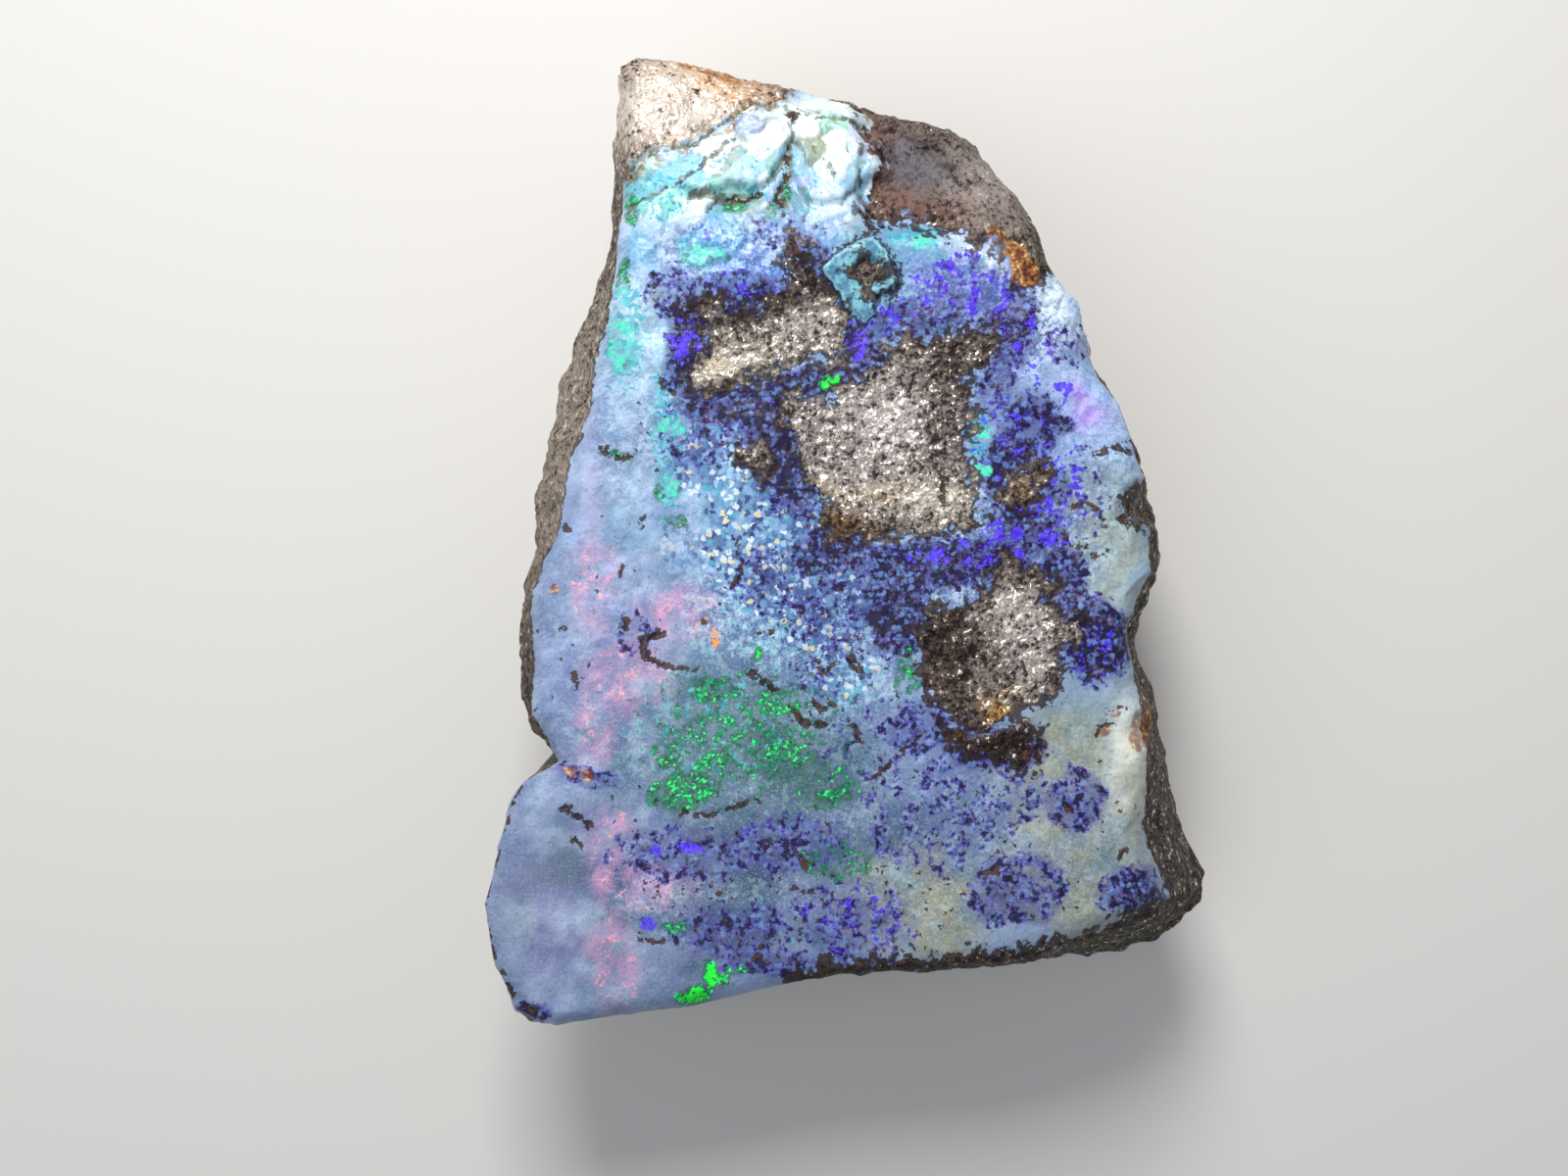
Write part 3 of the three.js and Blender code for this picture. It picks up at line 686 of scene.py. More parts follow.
def face_points(u, v):
    flat = sheet_points(RIM, u, v)
    width = np.hypot(*(along(RIM["left"], v) - along(RIM["right"], v)).T)
    length = np.hypot(*(along(RIM["bottom"], u) - along(RIM["top"], u)).T)
    from_rim = np.min([u * width, (1 - u) * width, v * length, (1 - v) * length], axis=0)
    height = face_height(*flat.T, from_rim)
    return np.column_stack([flat, height + ledges(*flat.T, height)])


def side_points(u, v, w):
    """The side at share w of the way from the back's edge to the rim."""
    belt_height = THICKNESS - BELT_DEPTH
    widest = ring_points(BELT, u, v)
    if w >= 0.5:
        share = 2 * (1 - w)
        edge = ring_points(RIM, u, v)
        start = face_height(*edge.T, np.zeros(len(u)))
        start += ledges(*edge.T, start)
        flat = blend(edge, widest, share**SIDE_CURVE)
        height = blend(start, belt_height, share)
    else:
        turn = (1 - 2 * w) * BACK_TURN
        inward = (1 - math.cos(turn)) / (1 - math.cos(BACK_TURN))
        flat = blend(widest, BACK_SCALE * widest, inward)
        height = np.full(len(u), belt_height)
        height += (BACK_EDGE_HEIGHT - belt_height) * math.sin(turn) / math.sin(BACK_TURN)
    fade = 1 - (2 * w - 1) ** 4
    outward = flat / np.hypot(*flat.T)[:, None]
    swell = FLANK_LUMPS * fade * lumps(*flat.T, height)
    return cut_by_breaks(np.column_stack([flat + outward * swell[:, None], height]))


def back_points(u, v):
    flat = BACK_SCALE * sheet_points(BELT, u, v)
    middle = 16 * u * (1 - u) * v * (1 - v)
    height = BACK_EDGE_HEIGHT - (BACK_EDGE_HEIGHT + BACK_SINK) * middle
    height += BACK_LUMPS * middle * lumps(*flat.T, np.full(len(u), 3.0))
    return cut_by_breaks(np.column_stack([flat, np.maximum(0, height)]))


class Surface:
    """The stone's surface as it grows: its points, its faces, and how far each point lies
    below the rim along the side."""

    def __init__(self):
        self.points = []
        self.faces = []
        self.below_rim = []
        self.count = 0

    def add(self, points, below_rim):
        """Adds points and gives their numbers."""
        self.points.append(points)
        self.below_rim.append(np.full(len(points), below_rim))
        self.count += len(points)
        return np.arange(self.count - len(points), self.count)

    def add_faces(self, *corners):
        self.faces.append(np.stack(corners, axis=1))

    def add_sheet(self, grid, back=False):
        """Joins a grid of point numbers into squares, which face down on the back."""
        corners = [grid[:-1, :-1], grid[1:, :-1], grid[1:, 1:], grid[:-1, 1:]]
        if back:
            corners.reverse()
        self.add_faces(*(corner.ravel() for corner in corners))

    def add_narrowing(self, upper, lower):
        """Joins a ring to one with a third as many points."""
        first, second, third = upper[0::3], upper[1::3], upper[2::3]
        fourth, after = np.roll(first, -1), np.roll(lower, -1)
        self.add_faces(first, lower, second)
        self.add_faces(second, lower, after)
        self.add_faces(second, after, third)
        self.add_faces(third, after, fourth)


def lattice(across, up):
    """Every place (u, v) of a sheet of cells, column by column, and the cell numbers of its
    border, once round from the lower left corner."""
    columns, rows = np.meshgrid(np.arange(across + 1), np.arange(up + 1), indexing="ij")
    border = [(i, 0) for i in range(across)] + [(across, j) for j in range(up)]
    border += [(across - i, up) for i in range(across)] + [(0, up - j) for j in range(up)]
    return columns.ravel() / across, rows.ravel() / up, tuple(np.array(border).T)


def make_surface():
    surface = Surface()
    u, v, border = lattice(CELLS_ACROSS, CELLS_ALONG)
    sheet = surface.add(face_points(u, v), 0.0).reshape(CELLS_ACROSS + 1, CELLS_ALONG + 1)
    surface.add_sheet(sheet)
    ring = sheet[border]
    ring_u, ring_v = border[0] / CELLS_ACROSS, border[1] / CELLS_ALONG
    for row in range(1, UPPER_ROWS + LOWER_ROWS + 1):
        if row <= UPPER_ROWS:
            w, below_rim = 1 - 0.5 * row / UPPER_ROWS, BELT_DEPTH * row / UPPER_ROWS
        else:
            lower_row = row - UPPER_ROWS
            w, below_rim = 0.5 - 0.5 * lower_row / LOWER_ROWS, BELT_DEPTH + lower_row
        if row == UPPER_ROWS + 1:
            ring_u, ring_v = ring_u[::COARSER], ring_v[::COARSER]
        below = surface.add(side_points(ring_u, ring_v, w), below_rim)
        if row == UPPER_ROWS + 1:
            surface.add_narrowing(ring, below)
        else:
            surface.add_faces(ring, below, np.roll(below, -1), np.roll(ring, -1))
        ring = below
    across, up = CELLS_ACROSS // COARSER, CELLS_ALONG // COARSER
    u, v, border = lattice(across, up)
    inside = (u > 0) & (u < 1) & (v > 0) & (v < 1)
    numbers = np.zeros(len(u), int)
    numbers[inside] = surface.add(back_points(u[inside], v[inside]), FAR_BELOW_RIM)
    numbers = numbers.reshape(across + 1, up + 1)
    numbers[border] = ring
    surface.add_sheet(numbers, back=True)
    return surface


def spread(x, y, centre_x, centre_y, half_width, half_height, turn=0):
    """How far each place lies from the middle of a spot, 1 at its edge."""
    cosine, sine = math.cos(math.radians(turn)), math.sin(math.radians(turn))
    right, down = x - centre_x, y - centre_y
    length = (right * cosine + down * sine) / half_width
    breadth = (down * cosine - right * sine) / half_height
    return np.hypot(length, breadth)


def gather(spots, x, y):
    """The strongest of many spots at each place. A spot is full in its middle and fades over
    its edge."""
    total = np.zeros(x.shape)
    for strength, *place in spots:
        total = np.maximum(total, strength * rise(SPOT_REACH - spread(x, y, *place), SPOT_FADE))
    return total


def linear(colour):
    """A colour of 0 to 255, as the eye sees it, as light."""
    share = np.asarray(colour, float) / 255
    return np.where(share <= 0.04045, share / 12.92, ((share + 0.055) / 1.055) ** 2.4)


def wash(colour, washes, x, y):
    """A ground colour under many broad soft washes, as light."""
    tint = np.tile(np.array(colour, float), (len(x), 1))
    for shade, strength, *place in washes:
        share = WASH_GAIN * strength * np.exp(-WASH_FALL * spread(x, y, *place) ** 2)
        tint = blend(tint, np.array(shade, float), np.clip(share, 0, 1)[:, None])
    return linear(tint)


def soft_cloud(points, size, seed):
    """Soft random patches about size across, from 0 to 1."""
    layers = ((0.7, size), (0.4, 0.4 * size))
    return rise(0.5 + 0.8 * speckles(points, (seed, seed + 100), layers), 1)


def paint_fields(points, below_rim):
    """Every field that the material reads, one value or colour for each point."""
    x, y, z = points.T
    photo_x, photo_y = photo_place(x, y, z)
    wander, sway = (speckles(points, seeds, SPOT_WANDER) for seeds in ((1, 2), (3, 4)))
    bent_x, bent_y = photo_x + wander, photo_y + sway
    _, chip, seam = chips_at(x, y)
    chips = gather(CHIPPED, photo_x, photo_y)

    fields = {"chips": chips, "stone_tint_sheen_and_shade": wash(STONE_COLOUR, STONE_TONE_SHEEN_AND_SHADE, bent_x, bent_y)}
    near_face = rise(FADE_BELOW_RIM - below_rim, FADE_BELOW_RIM)
    spot_x, spot_y = photo_x + SPOT_FOLLOW * wander, photo_y + SPOT_FOLLOW * sway
    for name, spots in SPOTS.items():
        fields[name] = gather(spots, spot_x, spot_y)
        if name not in ("stains", "dull"):
            fields[name] *= near_face
    fields["mottled"] *= 1 - GREEN_CALM * rise(fields["green"], 0.4)

    tint = wash(GROUND_COLOUR, WASHES, bent_x, bent_y)
    layers = [
        (np.array(CHIP_COLOURS)[chip], CHIP_SHARE * chips),
        (SEAM_COLOUR, CHIP_SHARE * chips * seam),
    ]
    for colour, size, strength, seed, spots in SOFT_CLOUDS:
        share = strength * soft_cloud(points, size, seed) * gather(spots, photo_x, photo_y)
        layers.append((colour, share * (1 - CHIP_COVER * chips)))
    layers += [
        (PINK_HAZE, HAZE_SHARE * fields["pink"] * soft_cloud(points, 0.9, 35)),
        (MOSS, MOSS_SHARE * rise(fields["green"], 0.5) * soft_cloud(points, 1.3, 36)),
    ]
    for colour, share in layers:
        tint = blend(tint, linear(colour), share[:, None])
    fields["tint"] = tint

    for strength, *place in RINGS:
        from_ring = np.abs(spread(bent_x, bent_y, *place) - 1)
        ring = strength * rise(RING_REACH - from_ring, RING_FADE)
        fields["indigo"] = np.maximum(fields["indigo"], ring)
    right, down = (speckles(points, (seed,), EDGE_WANDER) for seed in (5, 6))
    bare = np.full(len(points), FAR_OUTSIDE)
    for outline in BARE_PATCHES:
        bare = np.maximum(bare, depth_inside(outline, photo_x + right, photo_y + down))
    seam = SEAM_DEPTH + speckles(points, (7, 8), SEAM_WANDER)
    side = (below_rim - seam) * SEAM_SHARPNESS * PIXELS_PER_MM
    fields["bare"] = np.maximum(bare, np.where(below_rim > 0, side, FAR_OUTSIDE))
    neat_x, neat_y = photo_x + STROKE_FOLLOW * right, photo_y + STROKE_FOLLOW * down
    for name, lines in (("marks_and_shadows", MARKS_AND_SHADOWS), ("cracks_and_shadows", CRACKS_AND_SHADOWS)):
        fields[name] = np.full(len(points), FAR_OUTSIDE)
        for width, strokes in lines.items():
            for stroke in strokes:
                depth = width / 2 - line_distance(stroke, neat_x, neat_y)
                fields[name] = np.maximum(fields[name], depth)
        fields[name] -= PIXELS_PER_MM * below_rim
    fields["flake"] = depth_inside(SQUARE_FLAKE, neat_x, neat_y)
    fields["tip_light"] = rise(TIP_LIGHT_END - photo_y, TIP_LIGHT_WIDTH)
    return fields


def roughen(points, fields, below_rim):
    """Fine relief: grains on the ironstone, shallow pits and ripples in the opal."""
    stone = rise(fields["bare"] + 3, 8)
    grain = speckles(points, (11, 12), GRAIN)
    grain += (COARSE_GRAIN + TIP_GRAIN * fields["tip_light"]) * speckle(points, 1.3, 13)
    flat = points[:, :2]
    ripple = speckles(flat, (14, 15), RIPPLE)
    ripple += PIT_DEPTH * np.abs(speckle(flat, 2.2, 16)) - PIT_DEPTH / 2
    ripple += fields["tip_light"] * speckles(flat, (17, 18), ROUGH_TIP)
    mark = -MARK_DEPTH * rise(fields["marks_and_shadows"] + 2, 5)
    mark -= CRACK_DEPTH * rise(fields["cracks_and_shadows"] + 2, 5)
    shifted = points.copy()
    on_face = below_rim == 0
    shifted[on_face, 2] += (blend(ripple, grain, stone) + mark)[on_face]
    on_side = (below_rim > 0) & (points[:, 2] > STEADY_BELOW)
    outward = flat / np.hypot(*flat.T)[:, None]
    swell = grain + SIDE_SWELL * speckle(points, 2.4, 19)
    swell *= rise(points[:, 2] - SWELL_START, 2)
    shifted[on_side, :2] += (outward * swell[:, None])[on_side]
    return shifted


def make_mesh(surface):
    points = np.concatenate(surface.points)
    below_rim = np.concatenate(surface.below_rim)
    fields = paint_fields(points, below_rim)
    points = roughen(points, fields, below_rim)
    middle = (points.min(axis=0) + points.max(axis=0)) / 2
    points[:, :2] -= middle[:2]
    mesh = bpy.data.meshes.new("opal_stone")
    faces = [face for block in surface.faces for face in block.tolist()]
    mesh.from_pydata((points * MM).tolist(), [], faces)
    mesh.validate()
    mesh.shade_smooth()
    for name, values in fields.items():
        if values.ndim == 2:
            values = np.column_stack([values, np.ones(len(values))])
            layer, key = mesh.attributes.new(name, "FLOAT_COLOR", "POINT"), "color"
        else:
            layer, key = mesh.attributes.new(name, "FLOAT", "POINT"), "value"
        layer.data.foreach_set(key, values.astype(np.float32).ravel())
    return mesh, middle


# The stone's material, and the tree of nodes that the functions below add to
material = bpy.data.materials.new("boulder_opal")
material.use_nodes = True
tree = material.node_tree
tree.nodes.clear()


def paint(colour):
    """A colour of 0 to 255 as a socket takes it."""
    return (*linear(colour), 1.0)


def put(socket, value):
    if isinstance(value, bpy.types.NodeSocket):
        tree.links.new(value, socket)
    else:
        socket.default_value = value


def node(kind, inputs=None, **settings):
    made = tree.nodes.new(kind)
    for key, value in settings.items():
        setattr(made, key, value)
    for key, value in (inputs or {}).items():
        put(made.inputs[key], value)
    return made


def number(operation, *inputs):
    return node("ShaderNodeMath", dict(enumerate(inputs)), operation=operation).outputs[0]


def vector(operation, *inputs):
    return node("ShaderNodeVectorMath", dict(enumerate(inputs)), operation=operation).outputs[0]


def add(first, *others):
    for other in others:
        first = number("ADD", first, other)
    return first


def times(first, *others):
    for other in others:
        first = number("MULTIPLY", first, other)
    return first


def swing(cloud, amount):
    """A cloud made to swing about 0."""
    return number("MULTIPLY_ADD", cloud, amount, -0.5 * amount)


def ramp(value, low, high, start=0.0, end=1.0):
    """Goes smoothly from start to end as a value goes from low to high."""
    inputs = {"Value": value, "From Min": low, "From Max": high, "To Min": start, "To Max": end}
    made = node("ShaderNodeMapRange", inputs, interpolation_type="SMOOTHSTEP")
    return made.outputs["Result"]


def mix_value(share, first, second):
    return node("ShaderNodeMix", {0: share, 2: first, 3: second}, data_type="FLOAT").outputs[0]


def mix(share, first, second, way="MIX"):
    """Mixes two colours, each a socket or a colour of 0 to 255."""
    made = node("ShaderNodeMix", {0: share}, data_type="RGBA", blend_type=way)
    for key, colour in ((6, first), (7, second)):
        put(made.inputs[key], paint(colour) if isinstance(colour, tuple) else colour)
    return made.outputs[2]


def field(name, kind="Fac"):
    return node("ShaderNodeAttribute", attribute_name=name).outputs[kind]


def spotted(name, *clouds):
    """A field broken up by clouds, each with its swing, and nothing where it is nothing."""
    value = field(name)
    broken = add(value, *(swing(cloud, amount) for cloud, amount in clouds))
    return times(broken, ramp(value, 0.02, 0.22))


def make_places():
    """The place on the stone in millimetres, and the same laid slantwise onto a plane, so that
    flat textures vary down the sides."""
    metres = node("ShaderNodeTexCoord").outputs["Object"]
    scaled = node("ShaderNodeVectorMath", {0: metres, "Scale": 1 / MM}, operation="SCALE")
    x, y, z = node("ShaderNodeSeparateXYZ", {"Vector": scaled.outputs[0]}).outputs
    slanted = {"X": add(x, times(z, SHEAR[0])), "Y": add(y, times(z, SHEAR[1]))}
    return scaled.outputs[0], node("ShaderNodeCombineXYZ", slanted).outputs[0]


def noise(per_mm, detail, seed, solid=False):
    """Clouds on the plane or in space, about 0.5 on the whole."""
    shift = (seed * 13.7, seed * 7.3, seed * 3.1)
    place = vector("ADD", SOLID_PLACE if solid else FLAT_PLACE, shift)
    inputs = {"Vector": place, "Scale": per_mm, "Detail": detail, "Roughness": 0.6}
    made = node("ShaderNodeTexNoise", inputs, noise_dimensions="3D" if solid else "2D")
    return made.outputs["Fac"]


def cells(place, first, second, reach, per_mm, dimensions="2D"):
    """Small cells, their places moved up to about reach millimetres by two clouds. Gives three
    random values for each cell, and the distance to its middle."""
    shift = node("ShaderNodeCombineXYZ", {"X": first, "Y": second, "Z": first}).outputs[0]
    inputs = {"Vector": vector("MULTIPLY_ADD", shift, (4 * reach,) * 3, place), "Scale": per_mm}
    made = node("ShaderNodeTexVoronoi", inputs, voronoi_dimensions=dimensions)
    parts = node("ShaderNodeSeparateColor", {"Color": made.outputs["Color"]}).outputs
    return parts[0], parts[1], parts[2], made.outputs["Distance"]


# Textures that the layers of the opal share: clouds, small dots and smaller sparks
SOLID_PLACE, FLAT_PLACE = make_places()
MIDDLING = noise(1.1, 1, 2)
PATCHY = noise(1.4, 2, 3)
SMALL = noise(2.8, 2, 4)
SPECKLED = noise(3.3, 1, 5)
FINE = noise(6.5, 1, 6)
DOT_VALUE, DOT_HUE, DOT_KIND, DOT_NEAR = cells(FLAT_PLACE, SMALL, SPECKLED, 0.1, 2.5)
SPARK, SPARK_HUE, _, _ = cells(FLAT_PLACE, FINE, SMALL, 0.06, 7.2)


def milky_body():
    """The milky ground with its soft clouds, paler and darker spots and round dots."""
    body = field("tint", "Color")
    mottled = field("mottled")
    mottle = add(swing(MIDDLING, 1.0), swing(SMALL, 0.9))
    body = mix(times(ramp(mottle, 0.02, -0.16, 0, 0.8), mottled), body, (64, 98, 150))
    body = mix(times(ramp(mottle, 0.03, 0.2, 0, 0.75), mottled), body, (186, 212, 230))
    grainy = mix_value(mottled, 0.1, 0.36)
    body = mix(times(ramp(FINE, 0.48, 0.28), grainy), body, (56, 70, 124))
    body = mix(times(ramp(FINE, 0.54, 0.72), grainy), body, (212, 226, 236))

    dotted = field("dotted")
    ground = mix(ramp(MIDDLING, 0.4, 0.6), (62, 92, 150), (104, 150, 196))
    body = mix(ramp(dotted, 0.2, 0.8, 0, 0.6), body, ground)
    colour = mix(ramp(DOT_HUE, 0.3, 0.4), (216, 232, 240), (158, 200, 228))
    colour = mix(ramp(DOT_HUE, 0.62, 0.66), colour, (84, 164, 192))
    colour = mix(ramp(DOT_HUE, 0.84, 0.87), colour, (226, 218, 172))
    round_dot = ramp(DOT_NEAR, 0.5, 0.36)
    pale = times(round_dot, ramp(DOT_VALUE, 0.38, 0.44), ramp(dotted, 0.15, 0.6, 0, 0.88))
    dark = times(round_dot, ramp(DOT_VALUE, 0.2, 0.15), ramp(dotted, 0.1, 0.5, 0, 0.8))
    return mix(dark, mix(pale, body, colour), (42, 50, 106))


def soft_colours(body):
    """Pink threads and teal patches."""
    near_thread = number("ABSOLUTE", swing(PATCHY, 1.0))
    broken = ramp(MIDDLING, 0.5, 0.66)
    thread = times(ramp(near_thread, 0.05, 0.01), broken, ramp(field("pink"), 0.25, 0.7, 0, 0.8))
    body = mix(thread, body, mix(SPARK_HUE, (236, 112, 156), (255, 196, 190)))
    teal_mask = spotted("teal", (SPECKLED, 2.0), (MIDDLING, 1.4))
    teal = mix(DOT_HUE, (26, 132, 168), (96, 200, 204))
    return mix(ramp(teal_mask, 0.62, 0.92, 0, 0.8), body, teal)


def dark_spots(body):
    """Indigo and brown spots that crowd round the bare patches, with violet ones in them."""
    density = field("indigo")
    under = mix(ramp(MIDDLING, 0.42, 0.6), (58, 52, 122), (92, 116, 184))
    body = mix(ramp(density, 0.12, 0.7, 0, 0.6), body, under)
    mask = spotted("indigo", (MIDDLING, 1.5), (PATCHY, 1.6), (SPECKLED, 1.2), (FINE, 0.5))
    halo = mix(ramp(MIDDLING, 0.4, 0.56), (64, 46, 78), (70, 60, 152))
    halo = mix(ramp(DOT_KIND, 0.4, 0.8, 0, 0.7), halo, (84, 92, 168))
    body = mix(ramp(mask, 0.34, 0.56, 0, 0.85), body, halo)
    core = mix(ramp(SMALL, 0.44, 0.58), (28, 17, 22), (28, 21, 68))
    body = mix(ramp(mask, 0.62, 0.84, 0, 0.95), body, core)
    in_crowd = ramp(density, 0.3, 0.6, 0, 0.7)
    island = times(ramp(DOT_NEAR, 0.5, 0.2), ramp(DOT_HUE, 0.66, 0.8), in_crowd)
    body = mix(island, body, (104, 140, 200))
    violet_mask = spotted("violet", (MIDDLING, 2.0), (SPECKLED, 1.2), (SPARK, 0.4))
    violet = mix(SPARK_HUE, (58, 28, 210), (110, 82, 255))
    return mix(ramp(violet_mask, 0.8, 0.96, 0, 0.9), body, violet)


def fire(body):
    """Green sparks on dark moss, and a few orange ones."""
    mask = spotted("green", (PATCHY, 2.6), (SMALL, 1.4))
    aqua = ramp(field("teal"), 0.52, 0.76)
    moss = mix(ramp(SPECKLED, 0.4, 0.56), (28, 56, 60), (76, 120, 104))
    moss = mix(aqua, moss, (120, 204, 214))
    body = mix(ramp(mask, 0.15, 0.75, 0, 0.75), body, moss)
    lit = add(times(mask, 0.7), times(SPARK, 0.9))
    glow = mix(aqua, (14, 108, 72), (70, 200, 176))
    body = mix(ramp(lit, 0.78, 1.02, 0, 0.75), body, glow)
    spark = mix(ramp(SPARK_HUE, 0.35, 0.95), (0, 152, 88), (70, 255, 130))
    spark = mix(ramp(field("green"), 1.0, 1.3, 0, 0.85), spark, (30, 244, 44))
    spark = mix(times(aqua, 0.85), spark, (84, 238, 190))
    body = mix(ramp(lit, 1.12, 1.22), body, spark)
    ember = spotted("orange", (FINE, 2.0), (SPARK, 0.9))
    return mix(ramp(ember, 0.95, 1.15), body, (255, 156, 76))


def square_flake(body):
    """The blue flake with its dark outline, which is partly a crack round it and partly painted shadow at
    the raised flake's edge.
    """
    flake = field("flake")
    colour = mix(ramp(PATCHY, 0.4, 0.62), (70, 124, 152), (124, 184, 198))
    body = mix(ramp(flake, 0.5, 2, 0, 0.85), body, colour)
    rim = times(ramp(flake, 5, 3), ramp(flake, 0.5, 1.5, 0, 0.5))
    body = mix(rim, body, (156, 206, 214))
    outline = add(flake, swing(SPECKLED, 12))
    gap_and_shadow = times(ramp(outline, 1.5, 0), ramp(outline, -4, -2, 0, 0.8))
    return mix(gap_and_shadow, body, (34, 32, 52))


def dark_specks(body):
    few = number("LESS_THAN", DOT_KIND, times(field("specks"), 0.22))
    ragged = add(DOT_NEAR, swing(FINE, 0.6))
    return mix(times(few, ramp(ragged, 0.34, 0.2, 0, 0.85)), body, (36, 28, 48))


def ironstone():
    """Dark and brown grains with glittering ones among them, whose glints are painted: a near-white
    colour stands in for the light they catch. Gives their colour with these painted glints, how much each
    place glints, how metallic it is, and its relief."""
    tint = field("stone_tint_sheen_and_shade", "Color")
    clumps = noise(1.8, 1, 21, solid=True)
    grit = noise(5.5, 1, 22, solid=True)
    bright, warm, _, _ = cells(SOLID_PLACE, clumps, grit, 0.12, 4.4, "3D")
    # The glints crowd where the stone's washes are lighter, following the painted sheen there
    lightness = node("ShaderNodeRGBToBW", {"Color": tint}).outputs[0]
    level = add(times(bright, 0.5), swing(clumps, 1.1), swing(grit, 1.0), times(lightness, 0.75))
    dull = field("dull")
    level = mix_value(times(dull, 0.6), level, 0.4)
    dark = mix(1.0, tint, (112, 100, 98), "MULTIPLY")
    colour = mix(ramp(level, 0.12, 0.44), dark, tint)
    colour = mix(ramp(level, 0.1, -0.06, 0, 0.8), colour, (24, 19, 18))
    # Painted glints: the brightest grains take a near-white colour as painted highlight, and are also
    # made more metallic and smoother
    glint = ramp(level, 0.58, 0.78)
    colour = mix(times(glint, 0.85), colour, mix(warm, (246, 244, 240), (226, 210, 182)))
    metal = times(mix_value(glint, 0.25, 0.75), ramp(dull, 1.0, 0.2, 0.1, 1.0))
    return colour, glint, metal, add(times(clumps, 1.2), times(grit, 0.4))


def make_material():
    edge = noise(1.0, 2, 31)
    rim_noise = noise(2.2, 2, 32)
    tip = field("tip_light")
    surface = milky_body()
    for layer in (soft_colours, dark_spots, fire, square_flake, dark_specks):
        surface = layer(surface)

    bare = add(field("bare"), swing(edge, 44))
    stone_mask = ramp(bare, -2, 3)
    fringe = times(ramp(add(bare, swing(rim_noise, 34)), -9, -3), mix_value(tip, 0.9, 0.35))
    dark_fringe = mix(ramp(rim_noise, 0.42, 0.62), (18, 11, 22), (46, 31, 32))
    surface = mix(fringe, surface, mix(tip, dark_fringe, (112, 104, 104)))
    stone, glint, metal, stone_relief = ironstone()
    border = times(ramp(bare, 9, 1, 0, 0.5), mix_value(tip, 1.0, 0.2))
    surface = mix(stone_mask, surface, mix(border, stone, (52, 40, 36)))

    stain = ramp(add(field("stains"), swing(edge, 1.6)), 0.45, 0.75, 0, 0.7)
    rust = mix(ramp(rim_noise, 0.42, 0.56), (104, 46, 26), (176, 118, 50))
    rust = mix(ramp(rim_noise, 0.6, 0.68), rust, (226, 196, 130))
    surface = mix(stain, surface, rust)
    # Olive cracks, which also carry painted shade and shadow along the raised shells' edges
    crack_and_shadow = ramp(add(field("cracks_and_shadows"), swing(rim_noise, 8)), -1.0, 1.2)
    olive = mix(ramp(edge, 0.4, 0.6), (58, 60, 54), (122, 128, 104))
    surface = mix(times(crack_and_shadow, 0.8), surface, olive)
    # Dark marks; one of them, under the white shell, is painted shadow
    mark = ramp(add(field("marks_and_shadows"), swing(rim_noise, 16)), -0.4, 1.0)
    brown = mix(ramp(rim_noise, 0.5, 0.64), (14, 9, 13), (78, 52, 40))
    surface = mix(times(mark, 0.92), surface, brown)

    opal_rough = mix_value(field("chips"), ramp(rim_noise, 0.3, 0.7, 0.3, 0.46), 0.24)
    opal_rough = mix_value(mark, opal_rough, 0.75)
    roughness = mix_value(stone_mask, opal_rough, mix_value(glint, 0.6, 0.3))
    soft_mask = ramp(field("bare"), -6, 6)
    relief = mix_value(soft_mask, times(noise(1.7, 1, 41), 0.4), stone_relief)
    bump = node("ShaderNodeBump", {"Height": relief, "Strength": 1.0, "Distance": BUMP_REACH * MM})
    inputs = {
        "Base Color": surface, "Roughness": roughness, "Metallic": times(stone_mask, metal),
        "IOR": 1.45, "Specular IOR Level": 0.3, "Normal": bump.outputs["Normal"],
    }
    principled = node("ShaderNodeBsdfPrincipled", inputs)
    node("ShaderNodeOutputMaterial", {"Surface": principled.outputs[0]})


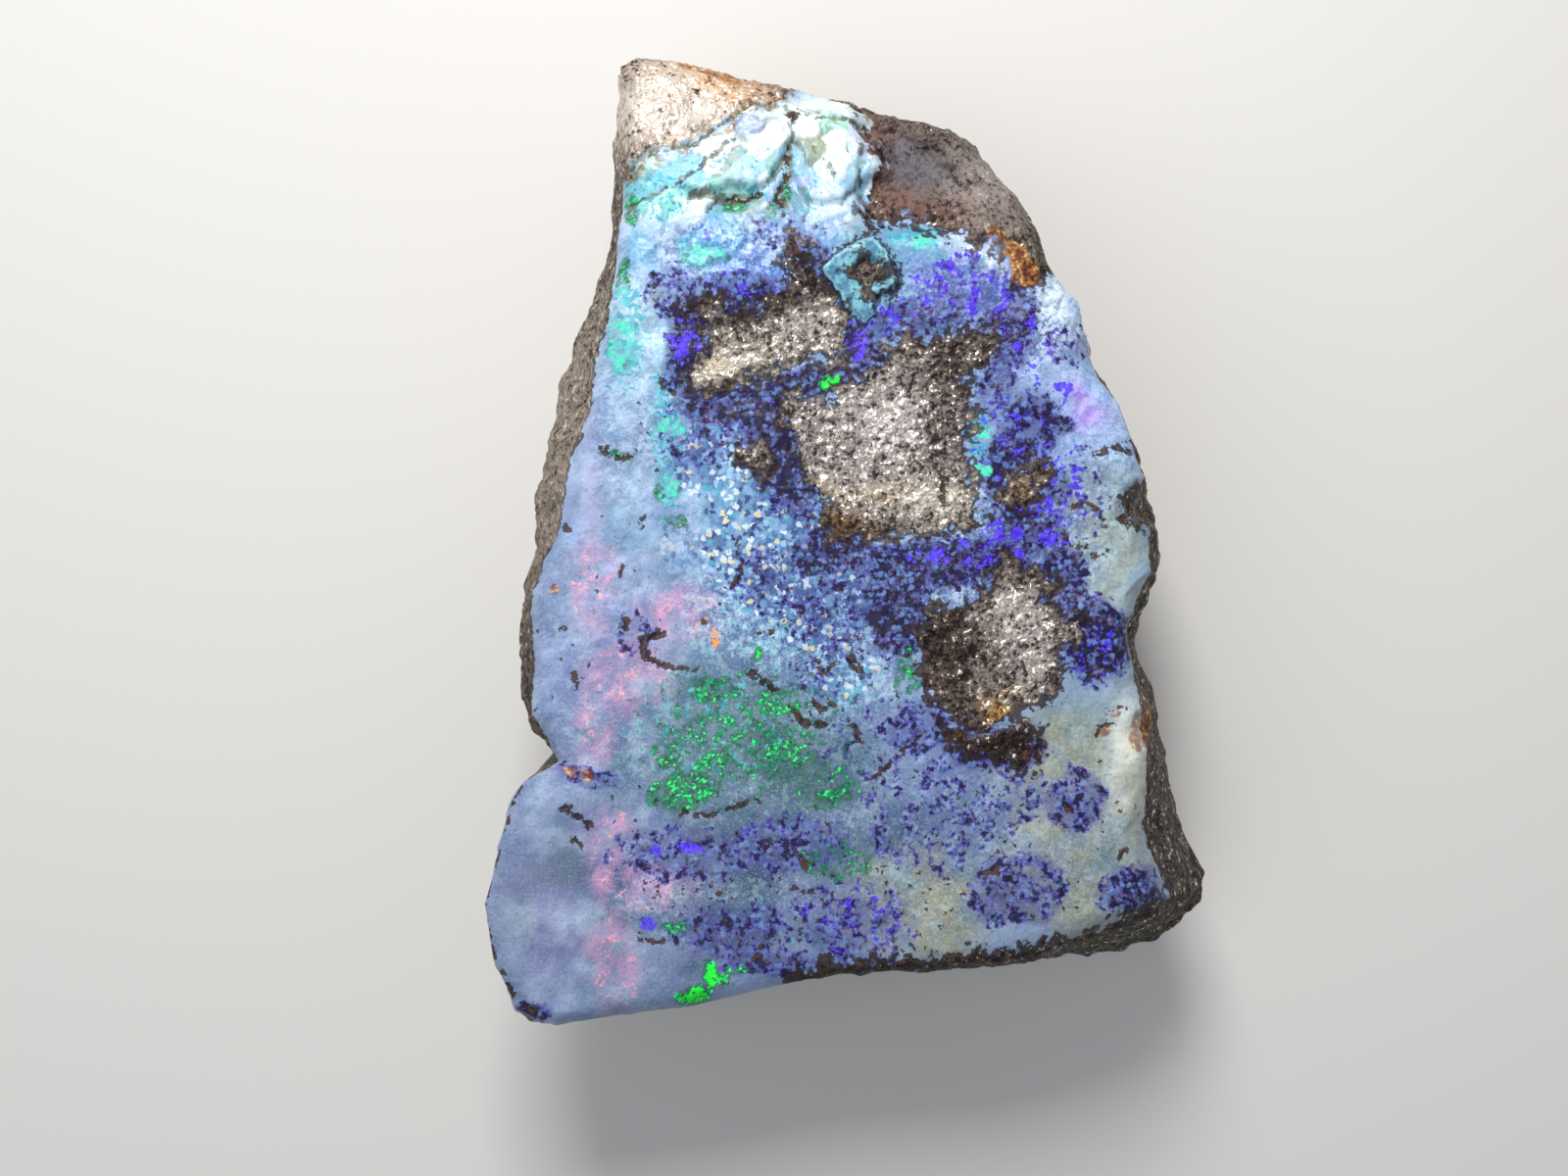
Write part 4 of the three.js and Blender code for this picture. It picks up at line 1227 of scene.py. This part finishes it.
def show(name, data):
    """Puts a mesh, a light or a camera into the scene."""
    thing = bpy.data.objects.new(name, data)
    bpy.context.scene.collection.objects.link(thing)
    return thing


def make_floor():
    half = FLOOR_SIZE / 2
    mesh = bpy.data.meshes.new("floor")
    corners = [(-half, -half, 0), (half, -half, 0), (half, half, 0), (-half, half, 0)]
    mesh.from_pydata(corners, [], [(0, 1, 2, 3)])
    plain = bpy.data.materials.new("floor")
    plain.use_nodes = True
    inputs = plain.node_tree.nodes["Principled BSDF"].inputs
    inputs["Base Color"].default_value = paint(FLOOR_COLOUR)
    inputs["Roughness"].default_value = 0.75
    mesh.materials.append(plain)
    show("floor", mesh)


def add_light(name, place, size, power, colour):
    """A soft square light that faces the stone. Place and size are in millimetres."""
    data = bpy.data.lights.new(name, "AREA")
    data.shape = "SQUARE"
    data.size = size * MM
    data.energy = power
    data.color = colour
    light = show(name, data)
    light.location = Vector(place) * MM
    facing = Vector(LIT_PLACE) * MM - light.location
    light.rotation_euler = facing.to_track_quat("-Z", "Y").to_euler()


def make_camera(middle):
    data = bpy.data.cameras.new("camera")
    data.sensor_width = SENSOR_WIDTH
    data.lens = SENSOR_WIDTH * FOCAL_PIXELS / PHOTO_WIDTH
    data.clip_start, data.clip_end = 0.005, 10
    camera = show("camera", data)
    place = (CAMERA_X - middle[0], CAMERA_Y - middle[1], CAMERA_HEIGHT)
    camera.location = Vector(place) * MM
    bpy.context.scene.camera = camera


def make_world():
    world = bpy.data.worlds.new("studio")
    world.use_nodes = True
    background = world.node_tree.nodes["Background"]
    background.inputs["Color"].default_value = SKY_COLOUR
    background.inputs["Strength"].default_value = SKY_STRENGTH
    bpy.context.scene.world = world


mesh, middle = make_mesh(make_surface())
make_material()
mesh.materials.append(material)
stone = show("opal_stone", mesh)
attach(stone, "root")
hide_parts("opal")

make_camera(middle)
make_floor()
make_world()
add_light("key", (-25, 140, 165), 80, 0.5, (1.0, 0.98, 0.95))
add_light("fill", (-350, -150, 600), 600, 1.5, (0.92, 0.96, 1.0))
bpy.context.scene.view_settings.view_transform = "Standard"
